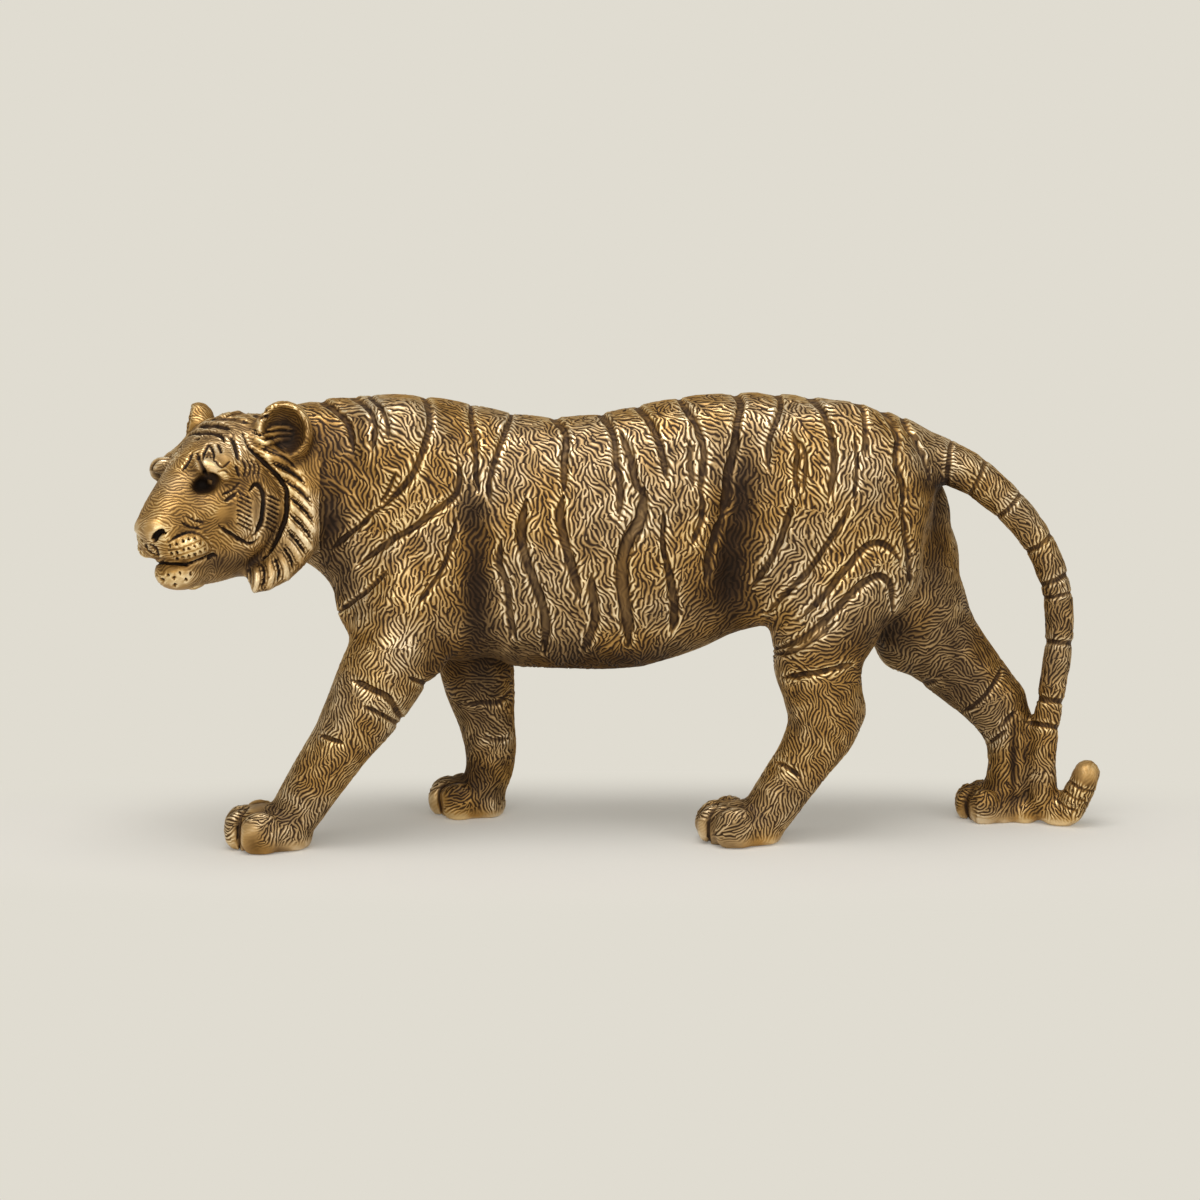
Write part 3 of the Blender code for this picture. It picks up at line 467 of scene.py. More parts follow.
def rolling(points, waves, bends):
    """Irregular low hills from -1 to 1: two crossed waves that bend each other."""
    x, y, z = points.T
    one = np.sin(x / waves[0] + bends[0] * np.sin(z / waves[1]))
    other = np.sin(z / waves[2] + y / waves[3] + bends[1] * np.sin(x / waves[4]))
    return one * other


# Gathers umber and painted shade for each corner; negative darkness gives painted highlights.
umber_and_shade = np.zeros(len(corners))
folded_view = seen(folded)
for depth, dark, column, row, wide, tall in HOLLOWS_SHADE_AND_HIGHLIGHTS:
    spot = soft_spot(folded_view, column, row, wide, tall) * ~face
    cut += depth * spot
    umber_and_shade = 1.0 - (1.0 - umber_and_shade) * (1.0 - dark * spot)
dents = rolling(corners, DENT_WAVES, DENT_BENDS)
cut += DENT_DEPTH * dents * np.where(face, FACE_DENTS, 1.0) * (1.0 - on_edge)
print("soft spots", len(HOLLOWS_SHADE_AND_HIGHLIGHTS), "and dents up to", round(DENT_DEPTH * float(dents.max()), 2), "mm")

# %% [markdown]
# ## The face
#
# The face is nearly symmetric, so it is drawn on its left half, which the photograph shows best,
# and cut on both. The drawing is laid over the head from the photograph's side, and what faces
# away from it is left alone, and so is the far ear. The eye is a soft dark hollow with a small ball
# in it.

# %% The lines of the face
FACE_LINES = [
    (1.2, 1.7, [(157, 559), (164, 563), (175, 564), (188, 564), (199, 560), (208, 555)]),
    (0.6, 2.6, [(208, 559), (212, 555), (216, 556)]),
    (0.6, 1.8, [(149, 545), (156, 549), (158, 559)]),
    (1.6, 3.6, [(154, 542), (156, 536), (161, 532), (165, 533)]),
    (0.35, 1.8, [(168, 543), (178, 536), (192, 532), (205, 538), (212, 548)]),
    (0.6, 1.9, [(202, 461), (205, 451), (209, 445), (213, 452), (214, 461)]),
    (0.4, 1.4, [(206, 458), (209, 452), (211, 459)]),
    (0.4, 1.5, [(215, 460), (222, 467), (230, 461)]),
    (0.4, 1.4, [(218, 472), (225, 470), (229, 474)]),
    (0.8, 2.8, [(197, 453), (201, 466), (207, 475)]),
    (1.0, 2.8, [(189, 435), (206, 432), (220, 435), (224, 441)]),
    (1.0, 2.8, [(177, 444), (188, 438), (200, 438)]),
    (1.0, 3.0, [(200, 427), (216, 425), (231, 429)]),
    (0.8, 2.4, [(171, 452), (180, 446), (190, 446)]),
    (0.7, 2.0, [(182, 470), (188, 462), (192, 452)]),
    (0.6, 1.8, [(240, 482), (232, 490), (222, 494)]),
    (0.5, 1.8, [(186, 515), (194, 520), (204, 522)]),
    (0.5, 1.8, [(182, 522), (190, 527), (200, 528)]),
    (0.9, 2.6, [(212, 419), (226, 418), (240, 420), (250, 423)]),
    (0.9, 2.6, [(226, 415), (245, 412), (268, 410)]),
    (0.7, 2.0, [(252, 414), (260, 417), (270, 416)]),
    (0.9, 2.8, [(231, 437), (236, 449), (239, 460)]),
    (0.7, 2.0, [(217, 443), (222, 453)]),
    (0.7, 2.2, [(236, 465), (240, 477)]),
    (0.6, 2.6, [(225, 501), (236, 493)]),
    (1.2, 3.2, [(250, 490), (256, 484), (261, 488), (264, 498), (263, 511), (261, 523), (255, 535)]),
    (0.8, 2.2, [(219, 526), (230, 534), (242, 541), (251, 544), (257, 540)]),
    (1.5, 2.7, [(243, 433), (249, 446), (259, 457), (270, 468), (280, 479), (286, 490), (287, 504),
                (285, 519), (279, 535), (271, 550), (262, 560)]),
]
CHEEK_HATCHES = 8
TEMPLE_HATCHES = 4
HATCH_STEP = 4.6
FACE_LINES += [(0.6, 1.5, [(237, 491 + HATCH_STEP * count), (252, 499 + HATCH_STEP * count)])
               for count in range(CHEEK_HATCHES)]
FACE_LINES += [(0.6, 1.5, [(266, 494 + HATCH_STEP * count),
                           (281 - 0.7 * count, 501 + HATCH_STEP * count)])
               for count in range(CHEEK_HATCHES)]
FACE_LINES += [(0.6, 1.5, [(242 + HATCH_STEP * count, 459), (246 + HATCH_STEP * count, 467),
                           (244 + HATCH_STEP * count, 476)]) for count in range(TEMPLE_HATCHES)]
WHISKERS = [
    (170, 546), (176, 544), (183, 541), (189, 539), (195, 538),
    (171, 554), (177, 553), (183, 550), (189, 549), (195, 546), (201, 543),
    (177, 559), (183, 558), (189, 557), (195, 555), (201, 552), (206, 549),
]
CHIN_PITS = [(168, 575), (174, 578), (180, 573), (175, 585), (186, 580), (191, 574), (163, 580)]
FACE_LINES += [(0.9, 2.1, [(column - 1, row + 0.5), (column + 1, row - 0.5)])
               for column, row in WHISKERS + CHIN_PITS]
FACE_LINES += [(0.3, 1.2, [(168, 550), (179, 549), (191, 544), (203, 539)]),
               (0.3, 1.2, [(171, 558), (183, 554), (196, 550), (206, 545)])]
EYE_HOLLOW = [(1.3, 205, 484, 9, 6)]
EYEBALL = [(0.8, 3.4, [(207, 483), (211, 481)])]
# Dark spots of the face: painted shade under the eye, under the jaw and beside the cheek's slit, and umber
# with painted shade in the eye and the ear's cup.
FACE_UMBER_AND_SHADE = [
    (0.95, 206, 483, 10, 9), (0.6, 197, 490, 8, 9), (0.6, 203, 472, 6, 8), (0.95, 289, 439, 17, 22),
    (0.5, 212, 562, 12, 8), (0.5, 244, 564, 26, 10), (0.5, 175, 566, 24, 5), (0.6, 273, 520, 14, 40),
    (0.4, 258, 478, 14, 12), (0.3, 222, 432, 30, 12), (0.4, 240, 500, 16, 30), (0.35, 186, 528, 12, 10),
]
print("lines and pits of the face", len(FACE_LINES))

# %% [markdown]
# ## The ruff and the ears
#
# The ruff is a fan of pointed locks that the CAD part holds already, as raised strokes. Here each
# gap between two neighbours gets a deep cut, halfway between their middle lines, and each lock gets
# two fine cuts along it. The left ear's cup has three curved tufts, which are raised, not cut.

# %% The locks of the ruff
LOCKS = [
    [(247, 424), (266, 431), (284, 442)], [(256, 440), (272, 446), (288, 458)],
    [(266, 456), (283, 462), (301, 473)], [(279, 472), (294, 479), (309, 492)],
    [(288, 488), (300, 497), (314, 513)], [(290, 505), (301, 515), (314, 531)],
    [(289, 522), (299, 533), (311, 548)], [(286, 540), (294, 549), (301, 561)],
    [(280, 555), (286, 567), (287, 578)], [(268, 561), (272, 575), (269, 587)],
    [(255, 566), (257, 579), (255, 590)], [(244, 569), (243, 578), (244, 587)],
]
LOCK_CUTS = [(0.5, 0.9, 1.7), (0.27, 0.4, 1.1), (0.73, 0.4, 1.1)]
TUFTS = [
    (0.9, 2.6, [(262, 437), (277, 434), (292, 434)]),
    (0.8, 2.4, [(264, 444), (279, 440), (291, 439)]),
    (0.8, 2.4, [(268, 430), (280, 427), (292, 429)]),
]
ruff_cuts = []
for lock, below in zip(LOCKS, LOCKS[1:]):
    for share, depth, half_width in LOCK_CUTS:
        line = (1 - share) * np.array(lock, dtype=float) + share * np.array(below, dtype=float)
        ruff_cuts.append((depth, half_width, line.tolist()))
print("ruff cuts", len(ruff_cuts))

# %% Cut the face
FAR_EAR_BEYOND = -6.0
FAR_EAR_ROW = 431
FAR_EAR_COLUMN = 218
TURNED_AWAY = -0.1
FACE_RIM = 0.12

left_half = in_head.copy()
left_half[:, 1] = np.abs(in_head[:, 1])
side = np.where(in_head[:, 1:2] < 0, [[1.0, -1.0, 1.0]], 1.0)
shown = ((facing @ head_axes.T) * side) @ (head_axes @ np.array(towards_camera)) > TURNED_AWAY
face_view = seen(left_half @ head_axes + HEAD_AT)
far_ear = (in_head[:, 1] < FAR_EAR_BEYOND) & (rows < FAR_EAR_ROW) & (columns < FAR_EAR_COLUMN)
slit = np.zeros(len(corners))
gouge(cut, slit, wall, rim, face_view, FACE_LINES + ruff_cuts, face & shown & ~far_ear,
      rim_height=FACE_RIM)
for depth, column, row, wide, tall in EYE_HOLLOW:
    cut += depth * (face & shown) * soft_spot(face_view, column, row, wide, tall)
swell(cut, face_view, EYEBALL, face & shown)
swell(cut, face_view, TUFTS, face & shown & (in_head[:, 1] > 0))
# The face's spots add painted shade, partly umber, to the same darkness as the body's hollows.
for dark, column, row, wide, tall in FACE_UMBER_AND_SHADE:
    umber_and_shade = 1.0 - (1.0 - umber_and_shade) * (1.0 - dark * face * soft_spot(face_view, column, row, wide, tall))
print("face lines", len(FACE_LINES + ruff_cuts), "up to", round(float(cut[face].max()), 2), "mm deep")

# %% [markdown]
# ## Which way the hair lies
#
# The hair cuts are about 1.4 mm apart and change direction from patch to patch, like the lines of
# a fingerprint. A few guides say how they lie, as an angle seen from the left: 0 is level, 90 is
# upright. Every corner takes the mean of the guides near it. Angles are doubled for the mean,
# because a hair at 170 degrees lies almost as one at 0. A slow wave turns the hair a little more.
# On the legs, the tail and the face the cuts are finer.

# %% Hair directions
HAIR_GUIDES = [
    (360, 400, 150), (360, 440, 116), (370, 500, 118), (370, 560, 72), (360, 620, 88), (370, 680, 92),
    (330, 740, 72), (290, 800, 66), (440, 410, 125), (440, 470, 97), (430, 540, 58), (440, 600, 84),
    (490, 450, 97), (490, 600, 95), (530, 440, 122), (540, 520, 95), (540, 600, 105), (600, 440, 124),
    (600, 520, 115), (600, 600, 100), (600, 655, 86), (650, 440, 122), (660, 520, 96), (660, 600, 92),
    (700, 420, 128), (700, 480, 108), (740, 400, 154), (740, 450, 94), (740, 540, 78), (700, 640, 35),
    (800, 410, 124), (800, 470, 98), (800, 540, 84), (790, 600, 50), (850, 420, 130), (850, 480, 93),
    (850, 560, 96), (840, 620, 46), (830, 660, 12), (830, 705, 110), (800, 760, 96), (760, 820, 62),
    (900, 420, 134), (910, 480, 106), (910, 560, 92), (900, 610, 54), (960, 480, 150), (1000, 510, 120),
    (1045, 560, 110), (1055, 640, 80), (1045, 740, 100), (480, 660, 168), (475, 700, 172), (488, 740, 120),
    (480, 790, 80), (940, 650, 30), (980, 680, 148), (1005, 740, 60), (1008, 780, 90), (230, 820, 20),
    (430, 810, 10), (700, 840, 12), (960, 820, 8), (280, 440, 150), (215, 440, 160), (210, 520, 160),
    (240, 480, 128), (290, 500, 120), (300, 540, 100), (270, 575, 80), (180, 550, 10), (245, 560, 96),
]
GUIDE_REACH = 22.0
HAIR_SWAY = 46.0
SWAY_WAVES = (2.6, 3.1, 3.7, 3.4, 4.4)
SWAY_BENDS = (1.7, 1.3)
SWAY_EDGE = 1.6
FINE_LIMBS = 1.3
FINE_FACE = 1.4
LIMB_ROWS = (620, 700)
TAIL_COLUMNS = (920, 960)

guides = np.array(HAIR_GUIDES, dtype=float)
view = seen(folded)
pull = np.zeros((len(corners), 2))
for column, row, angle in guides:
    near = 1.0 / (((view - (column, row)) ** 2).sum(axis=1) + GUIDE_REACH ** 2) ** 2
    doubled = math.radians(2 * angle)
    pull += near[:, None] * (math.cos(doubled), math.sin(doubled))
lie = np.arctan2(pull[:, 1], pull[:, 0]) / 2
lie += math.radians(HAIR_SWAY) * np.tanh(SWAY_EDGE * rolling(corners, SWAY_WAVES, SWAY_BENDS))
side_on = np.stack([np.cos(lie), np.zeros(len(lie)), np.sin(lie)], axis=1)
across = np.cross(facing, side_on)
across /= np.linalg.norm(across, axis=1, keepdims=True) + 1e-9
on_limbs = np.maximum(ramp(rows, *LIMB_ROWS), ramp(columns, *TAIL_COLUMNS))
fineness = 1.0 + (FINE_LIMBS - 1.0) * on_limbs
fineness[face] = FINE_FACE
print("hair guides", len(guides))

# %% [markdown]
# ## The hair cuts
#
# Cutting thousands of hairs one by one is slow. Gabor noise is a quick way to get the same look: it
# is made of short bundles of parallel waves, each of them turned the way that we ask. Its phase
# runs from 0 to 1 over each wave, so a groove can be cut wherever the phase is near its ends, and
# all grooves come out equally deep, as from one gouge. The same nodes are used twice: in geometry
# nodes they give the depth at every corner of the skin, and in the finish they colour the grooves.

# %% Nodes that make the waves
HAIR_SPACING = 1.42  # millimetres from groove to groove on the body
HAIR_PATCH = 2.4
GROOVE_FROM = 0.1
GROOVE_TO = 0.88


def add_node(tree, kind, inputs=None, **settings):
    """Adds a node, gives it its settings, and fills or links its inputs."""
    node = tree.nodes.new(kind)
    for name, value in settings.items():
        setattr(node, name, value)
    for name, value in (inputs or {}).items():
        if isinstance(value, bpy.types.NodeSocket):
            tree.links.new(value, node.inputs[name])
        else:
            node.inputs[name].default_value = value
    return node


def hair_grooves(tree, place, across, fineness):
    """How deep in a hair groove a place lies, from 0 on a ridge to 1 on the groove's floor."""
    closeness = add_node(tree, "ShaderNodeMath", {
        0: fineness, 1: HAIR_PATCH / HAIR_SPACING}, operation="MULTIPLY")
    waves = add_node(tree, "ShaderNodeTexGabor", {
        "Vector": place, "Orientation": across, "Scale": 1.0 / HAIR_PATCH,
        "Frequency": closeness.outputs[0], "Anisotropy": 1.0}, gabor_type="3D")
    apart = add_node(tree, "ShaderNodeMath", {
        0: waves.outputs["Phase"], 1: 0.5}, operation="SUBTRACT")
    either_side = add_node(tree, "ShaderNodeMath", {0: apart.outputs[0]}, operation="ABSOLUTE")
    groove = add_node(tree, "ShaderNodeMapRange", {
        "Value": either_side.outputs[0], "From Min": GROOVE_FROM / 2, "From Max": GROOVE_TO / 2},
        interpolation_type="SMOOTHSTEP")
    return groove.outputs["Result"]


print("a hair groove every", HAIR_SPACING, "mm")

# %% [markdown]
# ## Where the wax could not reach, and where shade is painted
#
# The rag with the wax reaches the open parts of the animal and misses the narrow ones: behind the
# elbow, in the flank, between the legs, inside the ears. These closed places are darkened later,
# partly as umber and partly as painted shade. To find them, 64 rays leave each place of a rough
# copy of the figure, evenly over all directions, and the share of them that gets away is how open
# the place is. Rays that leave straight count for more than slanted ones.

# %% Measure how open each place is
ROUGH_GRAIN = 2.6
RAY_COUNT = 64
RAY_REACH = 26.0
RAY_START = 0.8
GRAZING = 0.1


def store(mesh, name, values, kind="FLOAT"):
    """Keeps one value, or one vector, for each corner of a mesh."""
    layer = mesh.attributes.get(name) or mesh.attributes.new(name, kind, "POINT")
    key = "vector" if kind == "FLOAT_VECTOR" else "value"
    layer.data.foreach_set(key, np.ascontiguousarray(values, dtype=np.float32).ravel())


def kept(mesh, name):
    """The value that is kept for each corner."""
    flat = np.empty(len(mesh.vertices), dtype=np.float32)
    mesh.attributes[name].data.foreach_get("value", flat)
    return flat.astype(float)


golden = math.pi * (3.0 - math.sqrt(5.0))
rays = []
for count in range(RAY_COUNT):
    rise = 1.0 - 2.0 * (count + 0.5) / RAY_COUNT
    spread = math.sqrt(1.0 - rise * rise)
    rays.append(Vector((spread * math.cos(golden * count), spread * math.sin(golden * count), rise)))

rough = fused(core.copy(), ROUGH_GRAIN)
solid = BVHTree.FromPolygons([v.co for v in rough.vertices], [p.vertices for p in rough.polygons])
openness = []
for corner in rough.vertices:
    free, total = 0.0, 0.0
    for ray in rays:
        weight = ray.dot(corner.normal)
        if weight > GRAZING:
            total += weight
            if solid.ray_cast(corner.co + corner.normal * RAY_START, ray, RAY_REACH)[0] is None:
                free += weight
    openness.append(free / total)
store(rough, "openness", openness)
print("openness", round(min(openness), 2), "to", round(max(openness), 2), "at", len(openness), "places")

# %% [markdown]
# ## Values for the skin
#
# Geometry nodes work out a few values at every corner of the fine skin and keep them there, under
# names that the finish can read. `drawn` is the place at which the hair waves are looked up: the
# corner's own place, shifted a little by a soft noise, so that the strokes wander as if cut by hand.
# `groove` is the hair groove there, `openness` comes from the nearest place of the rough copy, and
# two slow noises say where the rag pressed more (`patches`) and where the wax is paler (`pale`).

# %% Work out the values
BEND = 1.9
BEND_PATCH = 3.6
RUB_PATCH = 7.0
PALE_PATCH = 22.0


def value_nodes(lump):
    """Geometry nodes that keep hair grooves, openness, rubbing and paleness at each corner."""
    tree = bpy.data.node_groups.new("skin_values", "GeometryNodeTree")
    tree.interface.new_socket("Geometry", in_out="INPUT", socket_type="NodeSocketGeometry")
    tree.interface.new_socket("Geometry", in_out="OUTPUT", socket_type="NodeSocketGeometry")
    start = add_node(tree, "NodeGroupInput")
    place = add_node(tree, "GeometryNodeInputPosition").outputs["Position"]
    fine, turn, air = [
        add_node(tree, "GeometryNodeInputNamedAttribute", {
            "Name": name}, data_type=kind).outputs["Attribute"]
        for name, kind in (("fineness", "FLOAT"), ("across", "FLOAT_VECTOR"), ("openness", "FLOAT"))]
    drift, patches, pale = [
        add_node(tree, "ShaderNodeTexNoise", {"Vector": place, "Scale": 1.0 / size, "Detail": detail})
        for size, detail in ((BEND_PATCH, 1.0), (RUB_PATCH, 2.0), (PALE_PATCH, 1.0))]
    drift = add_node(tree, "ShaderNodeVectorMath", {
        0: drift.outputs["Color"], 1: (0.5, 0.5, 0.5)}, operation="SUBTRACT").outputs["Vector"]
    drawn = add_node(tree, "ShaderNodeVectorMath", {
        0: drift, 1: (BEND, BEND, BEND), 2: place}, operation="MULTIPLY_ADD").outputs["Vector"]
    shape = add_node(tree, "GeometryNodeObjectInfo", {"Object": lump})
    nearest = add_node(tree, "GeometryNodeSampleNearestSurface", {
        "Mesh": shape.outputs["Geometry"], "Value": air, "Sample Position": place}, data_type="FLOAT")
    keeping = start.outputs["Geometry"]
    for name, value, kind in (
            ("drawn", drawn, "FLOAT_VECTOR"), ("groove", hair_grooves(tree, drawn, turn, fine), "FLOAT"),
            ("openness", nearest.outputs["Value"], "FLOAT"),
            ("patches", patches.outputs["Fac"], "FLOAT"), ("pale", pale.outputs["Fac"], "FLOAT")):
        keeping = add_node(tree, "GeometryNodeStoreNamedAttribute", {
            "Geometry": keeping, "Name": name, "Value": value},
            data_type=kind, domain="POINT").outputs["Geometry"]
    add_node(tree, "NodeGroupOutput", {"Geometry": keeping})
    return tree


print("strokes wander by up to", BEND / 2, "mm along each axis")

# %% Keep the values on the skin
store(skin, "across", across, "FLOAT_VECTOR")
store(skin, "fineness", fineness)
lump = held(rough)
holder = held(skin)
holder.modifiers.new("values", "NODES").node_group = value_nodes(lump)
skin = settled(holder)
bpy.data.objects.remove(lump)
groove = kept(skin, "groove")
openness = kept(skin, "openness")
print("grooves over", round(float((groove > 0.5).mean() * 100)), "% of the skin")

# %% [markdown]
# ## Bare places
#
# The toes, the nose, the muzzle, the brows, the ruff's locks and the tail's tip are almost smooth,
# and so are the floors of the stripes and the rims of the soles. Each bare spot has a middle and a
# reach. Under the belly, in turn, the hair hangs in a deeper fringe.

# %% Cut hair and stripes into the skin
HAIR_DEPTH = 0.38
BARE_FACE = [
    (187, 548, 20), (154, 530, 11), (214, 463, 17), (224, 515, 8), (246, 512, 15), (272, 512, 13),
    (178, 578, 14), (208, 482, 12), (280, 435, 12),
]
BARE_BODY = [
    (246, 836, 14), (256, 806, 9), (700, 832, 13), (437, 800, 10), (966, 812, 9), (1086, 773, 12),
]
SPOT_BARE = 0.92
SPOT_EDGE = (1.25, 0.75)
STRIPE_BARE = 0.7
SLIT_BARE = 0.9
SOLE_RIM = 3.2
SOLE_EDGE = (0.6 * SOLE_RIM, 1.4 * SOLE_RIM)
FACE_HAIR = 0.66
LOCK_WIDTH = 9.0
LOCK_BARE = 0.8
BELLY_ROWS = (636, 650)
BELLY_FRONT = (470, 490)
BELLY_BACK = (625, 600)
FRINGE_MORE = 1.2

hairy = (1.0 - STRIPE_BARE * floor) * (1.0 - SLIT_BARE * slit) * ramp(corners[:, 2], *SOLE_EDGE)
bare = np.zeros(len(corners))
for spots, spot_view, allowed in ((BARE_FACE, face_view, face), (BARE_BODY, seen(corners), ~face)):
    for column, row, reach in spots:
        apart = np.linalg.norm(spot_view - (column, row), axis=1) / reach
        bare = np.maximum(bare, SPOT_BARE * ramp(apart, *SPOT_EDGE) * allowed)
for lock in LOCKS:
    chosen, apart = along_line(face_view, LOCK_WIDTH, lock)
    bare[chosen] = np.maximum(bare[chosen], LOCK_BARE * ramp(apart, 1.0, 0.5) * face[chosen])
hairy *= 1.0 - bare
hairy[face] *= FACE_HAIR
fringe = ramp(rows, *BELLY_ROWS) * ramp(columns, *BELLY_FRONT) * ramp(columns, *BELLY_BACK)
hairy *= 1.0 + FRINGE_MORE * fringe
pressed = corners - facing * (cut - rim)[:, None]
carved = pressed - facing * (HAIR_DEPTH * groove * hairy)[:, None]
print("hair on", round(float((hairy > 0.5).mean() * 100)), "% of the skin")

# %% [markdown]
# ## What the rag has rubbed, and painted shade
#
# Ridges come out bright and hollows dark. A hollow is where a smoothed copy of the skin lies above
# the skin itself, and a ridge is where it lies below. The wax on a place is its tone, from 0 for
# bare umber to about 1 for the brightest gold. The hair grooves are left out here; the finish adds
# them. The share that each cause takes off or adds was matched to the photograph.

# %% Tone of each place
SMOOTHED_ROUNDS = 40
RUBBED = 0.3
MIDDLE_TONE = 0.585
HOLLOW_DARK = 0.5
FLOOR_SPARED = 0.8
RIDGE_BRIGHT = 0.45
FLOOR_DARK = 0.16
WALL_DARK = 0.3
BARE_DARK = 0.1
FACE_TONE = 0.94
CLOSED_UMBER_AND_SHADE = 0.25
OPEN_AT = (0.25, 0.8)
UMBER_AND_SHADE_DARK = 0.85
RUB_LEAST = 0.6
RUB_MOST = 1.4
PALE_FROM = 0.42
PALE_TO = 0.6

skin.vertices.foreach_set("co", pressed.astype(np.float32).ravel())
worn = softened(skin.copy(), SMOOTHED_ROUNDS, np.ones(len(corners)))
hollow = ((places(worn) - pressed) * facing).sum(axis=1) / RUBBED
tone = MIDDLE_TONE - HOLLOW_DARK * np.clip(hollow, 0.0, 1.0) * (1.0 - FLOOR_SPARED * floor) \
    + RIDGE_BRIGHT * np.clip(-hollow, 0.0, 1.0) - FLOOR_DARK * floor - WALL_DARK * wall
tone -= BARE_DARK * bare
tone[face] *= FACE_TONE
# Closed places and the gathered spots darken the tone here: partly umber, partly painted shade, with
# painted highlights where the spots are negative.
tone *= (CLOSED_UMBER_AND_SHADE + (1.0 - CLOSED_UMBER_AND_SHADE) * ramp(openness, *OPEN_AT)) * (1.0 - UMBER_AND_SHADE_DARK * umber_and_shade)
skin.vertices.foreach_set("co", carved.astype(np.float32).ravel())
tone = np.clip(tone, 0.0, 1.0) * (RUB_LEAST + (RUB_MOST - RUB_LEAST) * kept(skin, "patches"))
store(skin, "tone", tone)
store(skin, "pale", np.clip((kept(skin, "pale") - PALE_FROM) / (PALE_TO - PALE_FROM), 0.0, 1.0))
store(skin, "hairy", np.clip(hairy, 0.0, 1.0))
print("tone from", round(float(tone.min()), 2), "to", round(float(tone.max()), 2))

# %% [markdown]
# ## Fewer triangles
#
# The fine net has far more triangles than the form needs. Decimate merges those that lie nearly
# flat and keeps those along edges and grooves. A vertex group tells it to merge less on the head,
# where the finest cuts are.

# %% Thin the skin
TRIANGLES = 198000
FINE_HEAD = 0.25

holder = held(skin)
coarse = holder.vertex_groups.new(name="coarse")
in_front = columns < HEAD_ENDS
coarse.add(np.nonzero(in_front)[0].tolist(), FINE_HEAD, "REPLACE")
coarse.add(np.nonzero(~in_front)[0].tolist(), 1.0, "REPLACE")
thin = holder.modifiers.new("thin", "DECIMATE")
thin.ratio = TRIANGLES / sum(len(square.vertices) - 2 for square in skin.polygons)
thin.vertex_group = coarse.name
thin.vertex_group_factor = 1.0
thin.use_collapse_triangulate = True
tiger = settled(holder)
tiger.transform(Matrix.Scale(MM, 4))
print("tiger", len(tiger.polygons), "triangles")

# %% [markdown]
# ## Antique gold wax over umber
#
# The wax holds fine metal powder, so it reflects partly as metal does and partly as paint. It
# sticks to ridges and is wiped out of the cuts, where the matt umber paint shows. One number, the
# tone, runs the whole finish: more wax is brighter, more metallic and glossier. The tone also holds
# the painted shade of the closed places and the dark spots, which makes them darker, less metallic
# and rougher too. Two sets of shades, a warm and a pale one, take turns in patches, as the wax does
# where it is thick or thin. Here the tone is lowered in the hair grooves and raised a little on the
# ridges between them.

# %% The finish
HAIR_SHADE = 0.95
HAIR_GLOW = 0.24
METAL = (0.1, 0.7)
ROUGHNESS = (0.66, 0.33)
GLOSS = (0.12, 0.5)


def linear(code):
    """Linear colour of an sRGB hex code."""
    values = [int(code[start:start + 2], 16) / 255 for start in (1, 3, 5)]
    return (*[v / 12.92 if v <= 0.04045 else ((v + 0.055) / 1.055) ** 2.4 for v in values], 1.0)


WAX_TONES = [(0.0, "#150c05"), (0.2, "#38240f"), (0.45, "#7a5827"), (0.7, "#b58a48"), (1.0, "#f2d59c")]
PALE_TONES = [(0.0, "#150d07"), (0.2, "#392716"), (0.45, "#7c613d"), (0.7, "#ba9a6a"), (1.0, "#f4dfba")]


def tone_ramp(tree, tone, stops):
    """Colour for a tone, through a few named shades."""
    ramp_node = add_node(tree, "ShaderNodeValToRGB", {"Fac": tone})
    shades = ramp_node.color_ramp.elements
    while len(shades) < len(stops):
        shades.new(0.5)
    for shade, (position, code) in zip(shades, stops):
        shade.position = position
        shade.color = linear(code)
    return ramp_node.outputs["Color"]


def antique_gold():
    """Resin painted umber, with gold wax rubbed over its ridges."""
    material = bpy.data.materials.new("antique_gold_wax")
    material.use_nodes = True
    tree = material.node_tree
    tree.nodes.clear()
    rubbed, hairy, fineness, pale = [
        add_node(tree, "ShaderNodeAttribute", attribute_name=name).outputs["Fac"]
        for name in ("tone", "hairy", "fineness", "pale")]
    drawn, across = [
        add_node(tree, "ShaderNodeAttribute", attribute_name=name).outputs["Vector"]
        for name in ("drawn", "across")]
    grooves = add_node(tree, "ShaderNodeMath", {
        0: hair_grooves(tree, drawn, across, fineness), 1: hairy}, operation="MULTIPLY").outputs[0]
    left = add_node(tree, "ShaderNodeMath", {
        0: grooves, 1: -HAIR_SHADE, 2: 1.0 + HAIR_GLOW}, operation="MULTIPLY_ADD")
    tone = add_node(tree, "ShaderNodeMath", {
        0: rubbed, 1: left.outputs[0]}, operation="MULTIPLY").outputs[0]
    colour = add_node(tree, "ShaderNodeMix", {
        "Factor": pale, "A": tone_ramp(tree, tone, WAX_TONES),
        "B": tone_ramp(tree, tone, PALE_TONES)}, data_type="RGBA").outputs["Result"]
    metal, roughness, gloss = [
        add_node(tree, "ShaderNodeMapRange", {
            "Value": tone, "To Min": bare, "To Max": waxed}).outputs["Result"]
        for bare, waxed in (METAL, ROUGHNESS, GLOSS)]
    wax = add_node(tree, "ShaderNodeBsdfPrincipled", {
        "Base Color": colour, "Metallic": metal, "Roughness": roughness, "Specular IOR Level": gloss})
    add_node(tree, "ShaderNodeOutputMaterial", {"Surface": wax.outputs["BSDF"]})
    return material


print("wax shades", len(WAX_TONES), "warm and", len(PALE_TONES), "pale")

# %% [markdown]
# ## The figure
#
# The carved skin takes the casting's place: it rides on the same body, replaces the plain solid in
# the render, and names the material slot that the part's record gives.

# %% Put the figure in place
figure = bpy.data.objects.new("tiger", tiger)
bpy.context.scene.collection.objects.link(figure)
tiger.materials.clear()
tiger.materials.append(antique_gold())
tiger.shade_smooth()
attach(figure, "root")
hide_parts("tiger_figurine")
print("figure", [round(side / MM, 1) for side in figure.dimensions], "mm")

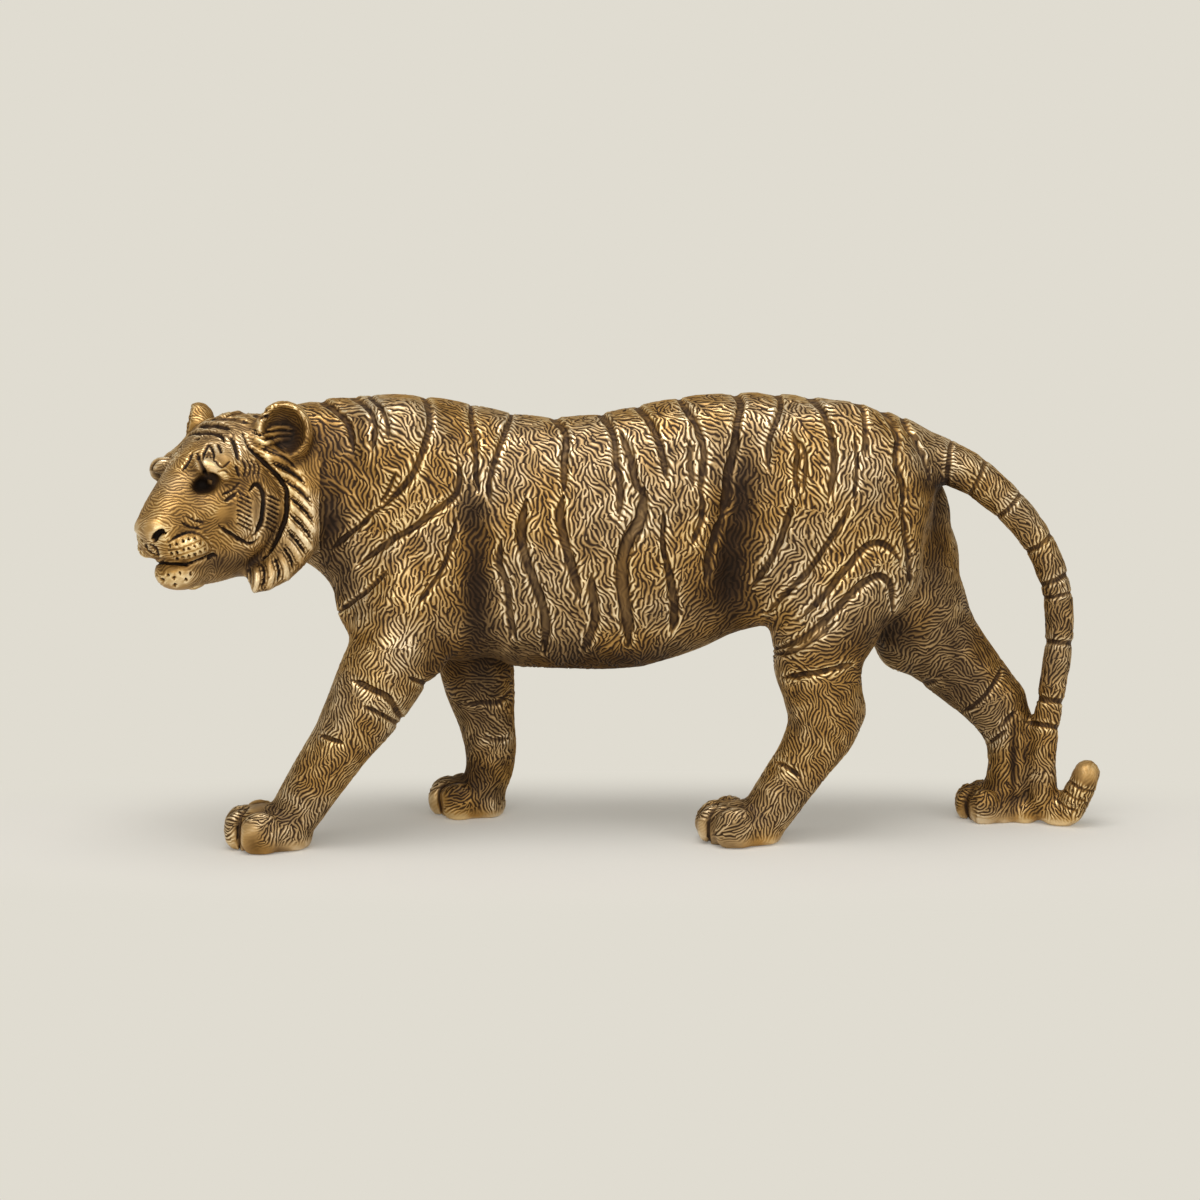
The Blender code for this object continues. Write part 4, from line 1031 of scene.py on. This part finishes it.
# %% [markdown]
# ## The studio
#
# A pale sheet of paper lies under the figurine. Near it the paper is lit by the lamps and takes the
# shadow. Further off it fades into an even glow of the backdrop's colour, which only the camera
# sees, so that floor and background meet without a line. The fade runs in a flat ellipse, because
# the shadow lies close under the animal. The light is soft and mostly from above, with a weaker
# lamp in front that fills the side that we see and another from the tail's side.

# %% Paper for the floor
BACKDROP = "#e0dcd1"
FLOOR_PAPER = "#dcd9d3"
PAPER_ROUGHNESS = 0.9
GLOW_SHARE = 0.2
FADE_FROM = 0.15
FADE_TO = 0.34
SHADOW_DEPTH = 4.0

sheet = bpy.data.materials.new("paper_backdrop")
sheet.use_nodes = True
tree = sheet.node_tree
tree.nodes.clear()
paper = add_node(tree, "ShaderNodeBsdfPrincipled", {
    "Base Color": linear(FLOOR_PAPER), "Roughness": PAPER_ROUGHNESS})
distant = add_node(tree, "ShaderNodeEmission", {"Color": linear(BACKDROP), "Strength": 1.0})
place = add_node(tree, "ShaderNodeNewGeometry").outputs["Position"]
place = add_node(tree, "ShaderNodeVectorMath", {
    0: place, 1: (1.0, SHADOW_DEPTH, 1.0)}, operation="MULTIPLY")
how_far = add_node(tree, "ShaderNodeVectorMath", {0: place.outputs["Vector"]}, operation="LENGTH")
fade = add_node(tree, "ShaderNodeMapRange", {
    "Value": how_far.outputs["Value"], "From Min": FADE_FROM, "From Max": FADE_TO,
    "To Min": GLOW_SHARE}, interpolation_type="SMOOTHSTEP")
looked_at = add_node(tree, "ShaderNodeLightPath").outputs["Is Camera Ray"]
share = add_node(tree, "ShaderNodeMath", {0: fade.outputs["Result"], 1: looked_at}, operation="MULTIPLY")
both = add_node(tree, "ShaderNodeMixShader", {
    0: share.outputs[0], 1: paper.outputs["BSDF"], 2: distant.outputs["Emission"]})
add_node(tree, "ShaderNodeOutputMaterial", {"Surface": both.outputs[0]})
print("paper fades into the backdrop between", FADE_FROM, "and", FADE_TO, "m")

# %% The sheet itself
FLOOR_HALF = 3.0

ground = bmesh.new()
bmesh.ops.create_grid(ground, x_segments=1, y_segments=1, size=FLOOR_HALF)
floor_mesh = bpy.data.meshes.new("studio_floor")
ground.to_mesh(floor_mesh)
ground.free()
floor_mesh.materials.append(sheet)
studio_floor = bpy.data.objects.new("studio_floor", floor_mesh)
bpy.context.scene.collection.objects.link(studio_floor)
studio_floor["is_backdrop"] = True
print("sheet", 2 * FLOOR_HALF, "m wide")

# %% Sky and lamps
SKY_LIGHT = 0.5
LAMP_AIM = Vector((0.0, 0.0, 0.07))

world = bpy.data.worlds.new("studio_air")
world.use_nodes = True
tree = world.node_tree
tree.nodes.clear()
looked_at = add_node(tree, "ShaderNodeLightPath").outputs["Is Camera Ray"]
strength = add_node(tree, "ShaderNodeMapRange", {"Value": looked_at, "To Min": SKY_LIGHT, "To Max": 1.0})
sky = add_node(tree, "ShaderNodeBackground", {
    "Color": linear(BACKDROP), "Strength": strength.outputs["Result"]})
add_node(tree, "ShaderNodeOutputWorld", {"Surface": sky.outputs["Background"]})
bpy.context.scene.world = world


def add_lamp(name, place, size, power):
    """A square soft box that looks at the figurine: place and size in metres, power in watts."""
    lamp = bpy.data.lights.new(name, "AREA")
    lamp.size = size
    lamp.energy = power
    holder = bpy.data.objects.new(name, lamp)
    holder.location = place
    holder.rotation_euler = (LAMP_AIM - Vector(place)).to_track_quat("-Z", "Y").to_euler()
    bpy.context.scene.collection.objects.link(holder)


add_lamp("top_soft_box", (-0.15, -0.25, 1.1), 0.7, 7.5)
add_lamp("side_soft_box", (0.9, -0.8, 0.6), 0.8, 3.5)
add_lamp("front_soft_box", (-0.2, -1.1, 0.55), 1.0, 5.4)
bpy.context.scene.view_settings.view_transform = "Standard"

# %% [markdown]
# ## Does it still fit?
#
# Both boxes are printed, and so is how far the skin reaches past the casting on each side. The skin
# may not grow out of the casting's box by more than a little.

# %% Sizes
visual_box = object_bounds()
print("visual box", [[round(value, 4) for value in corner] for corner in visual_box])
past_low = [round(cad - skin, 4) for cad, skin in zip(cad_box[0], visual_box[0])]
past_high = [round(skin - cad, 4) for cad, skin in zip(cad_box[1], visual_box[1])]
print("past the casting in metres", past_low, past_high)
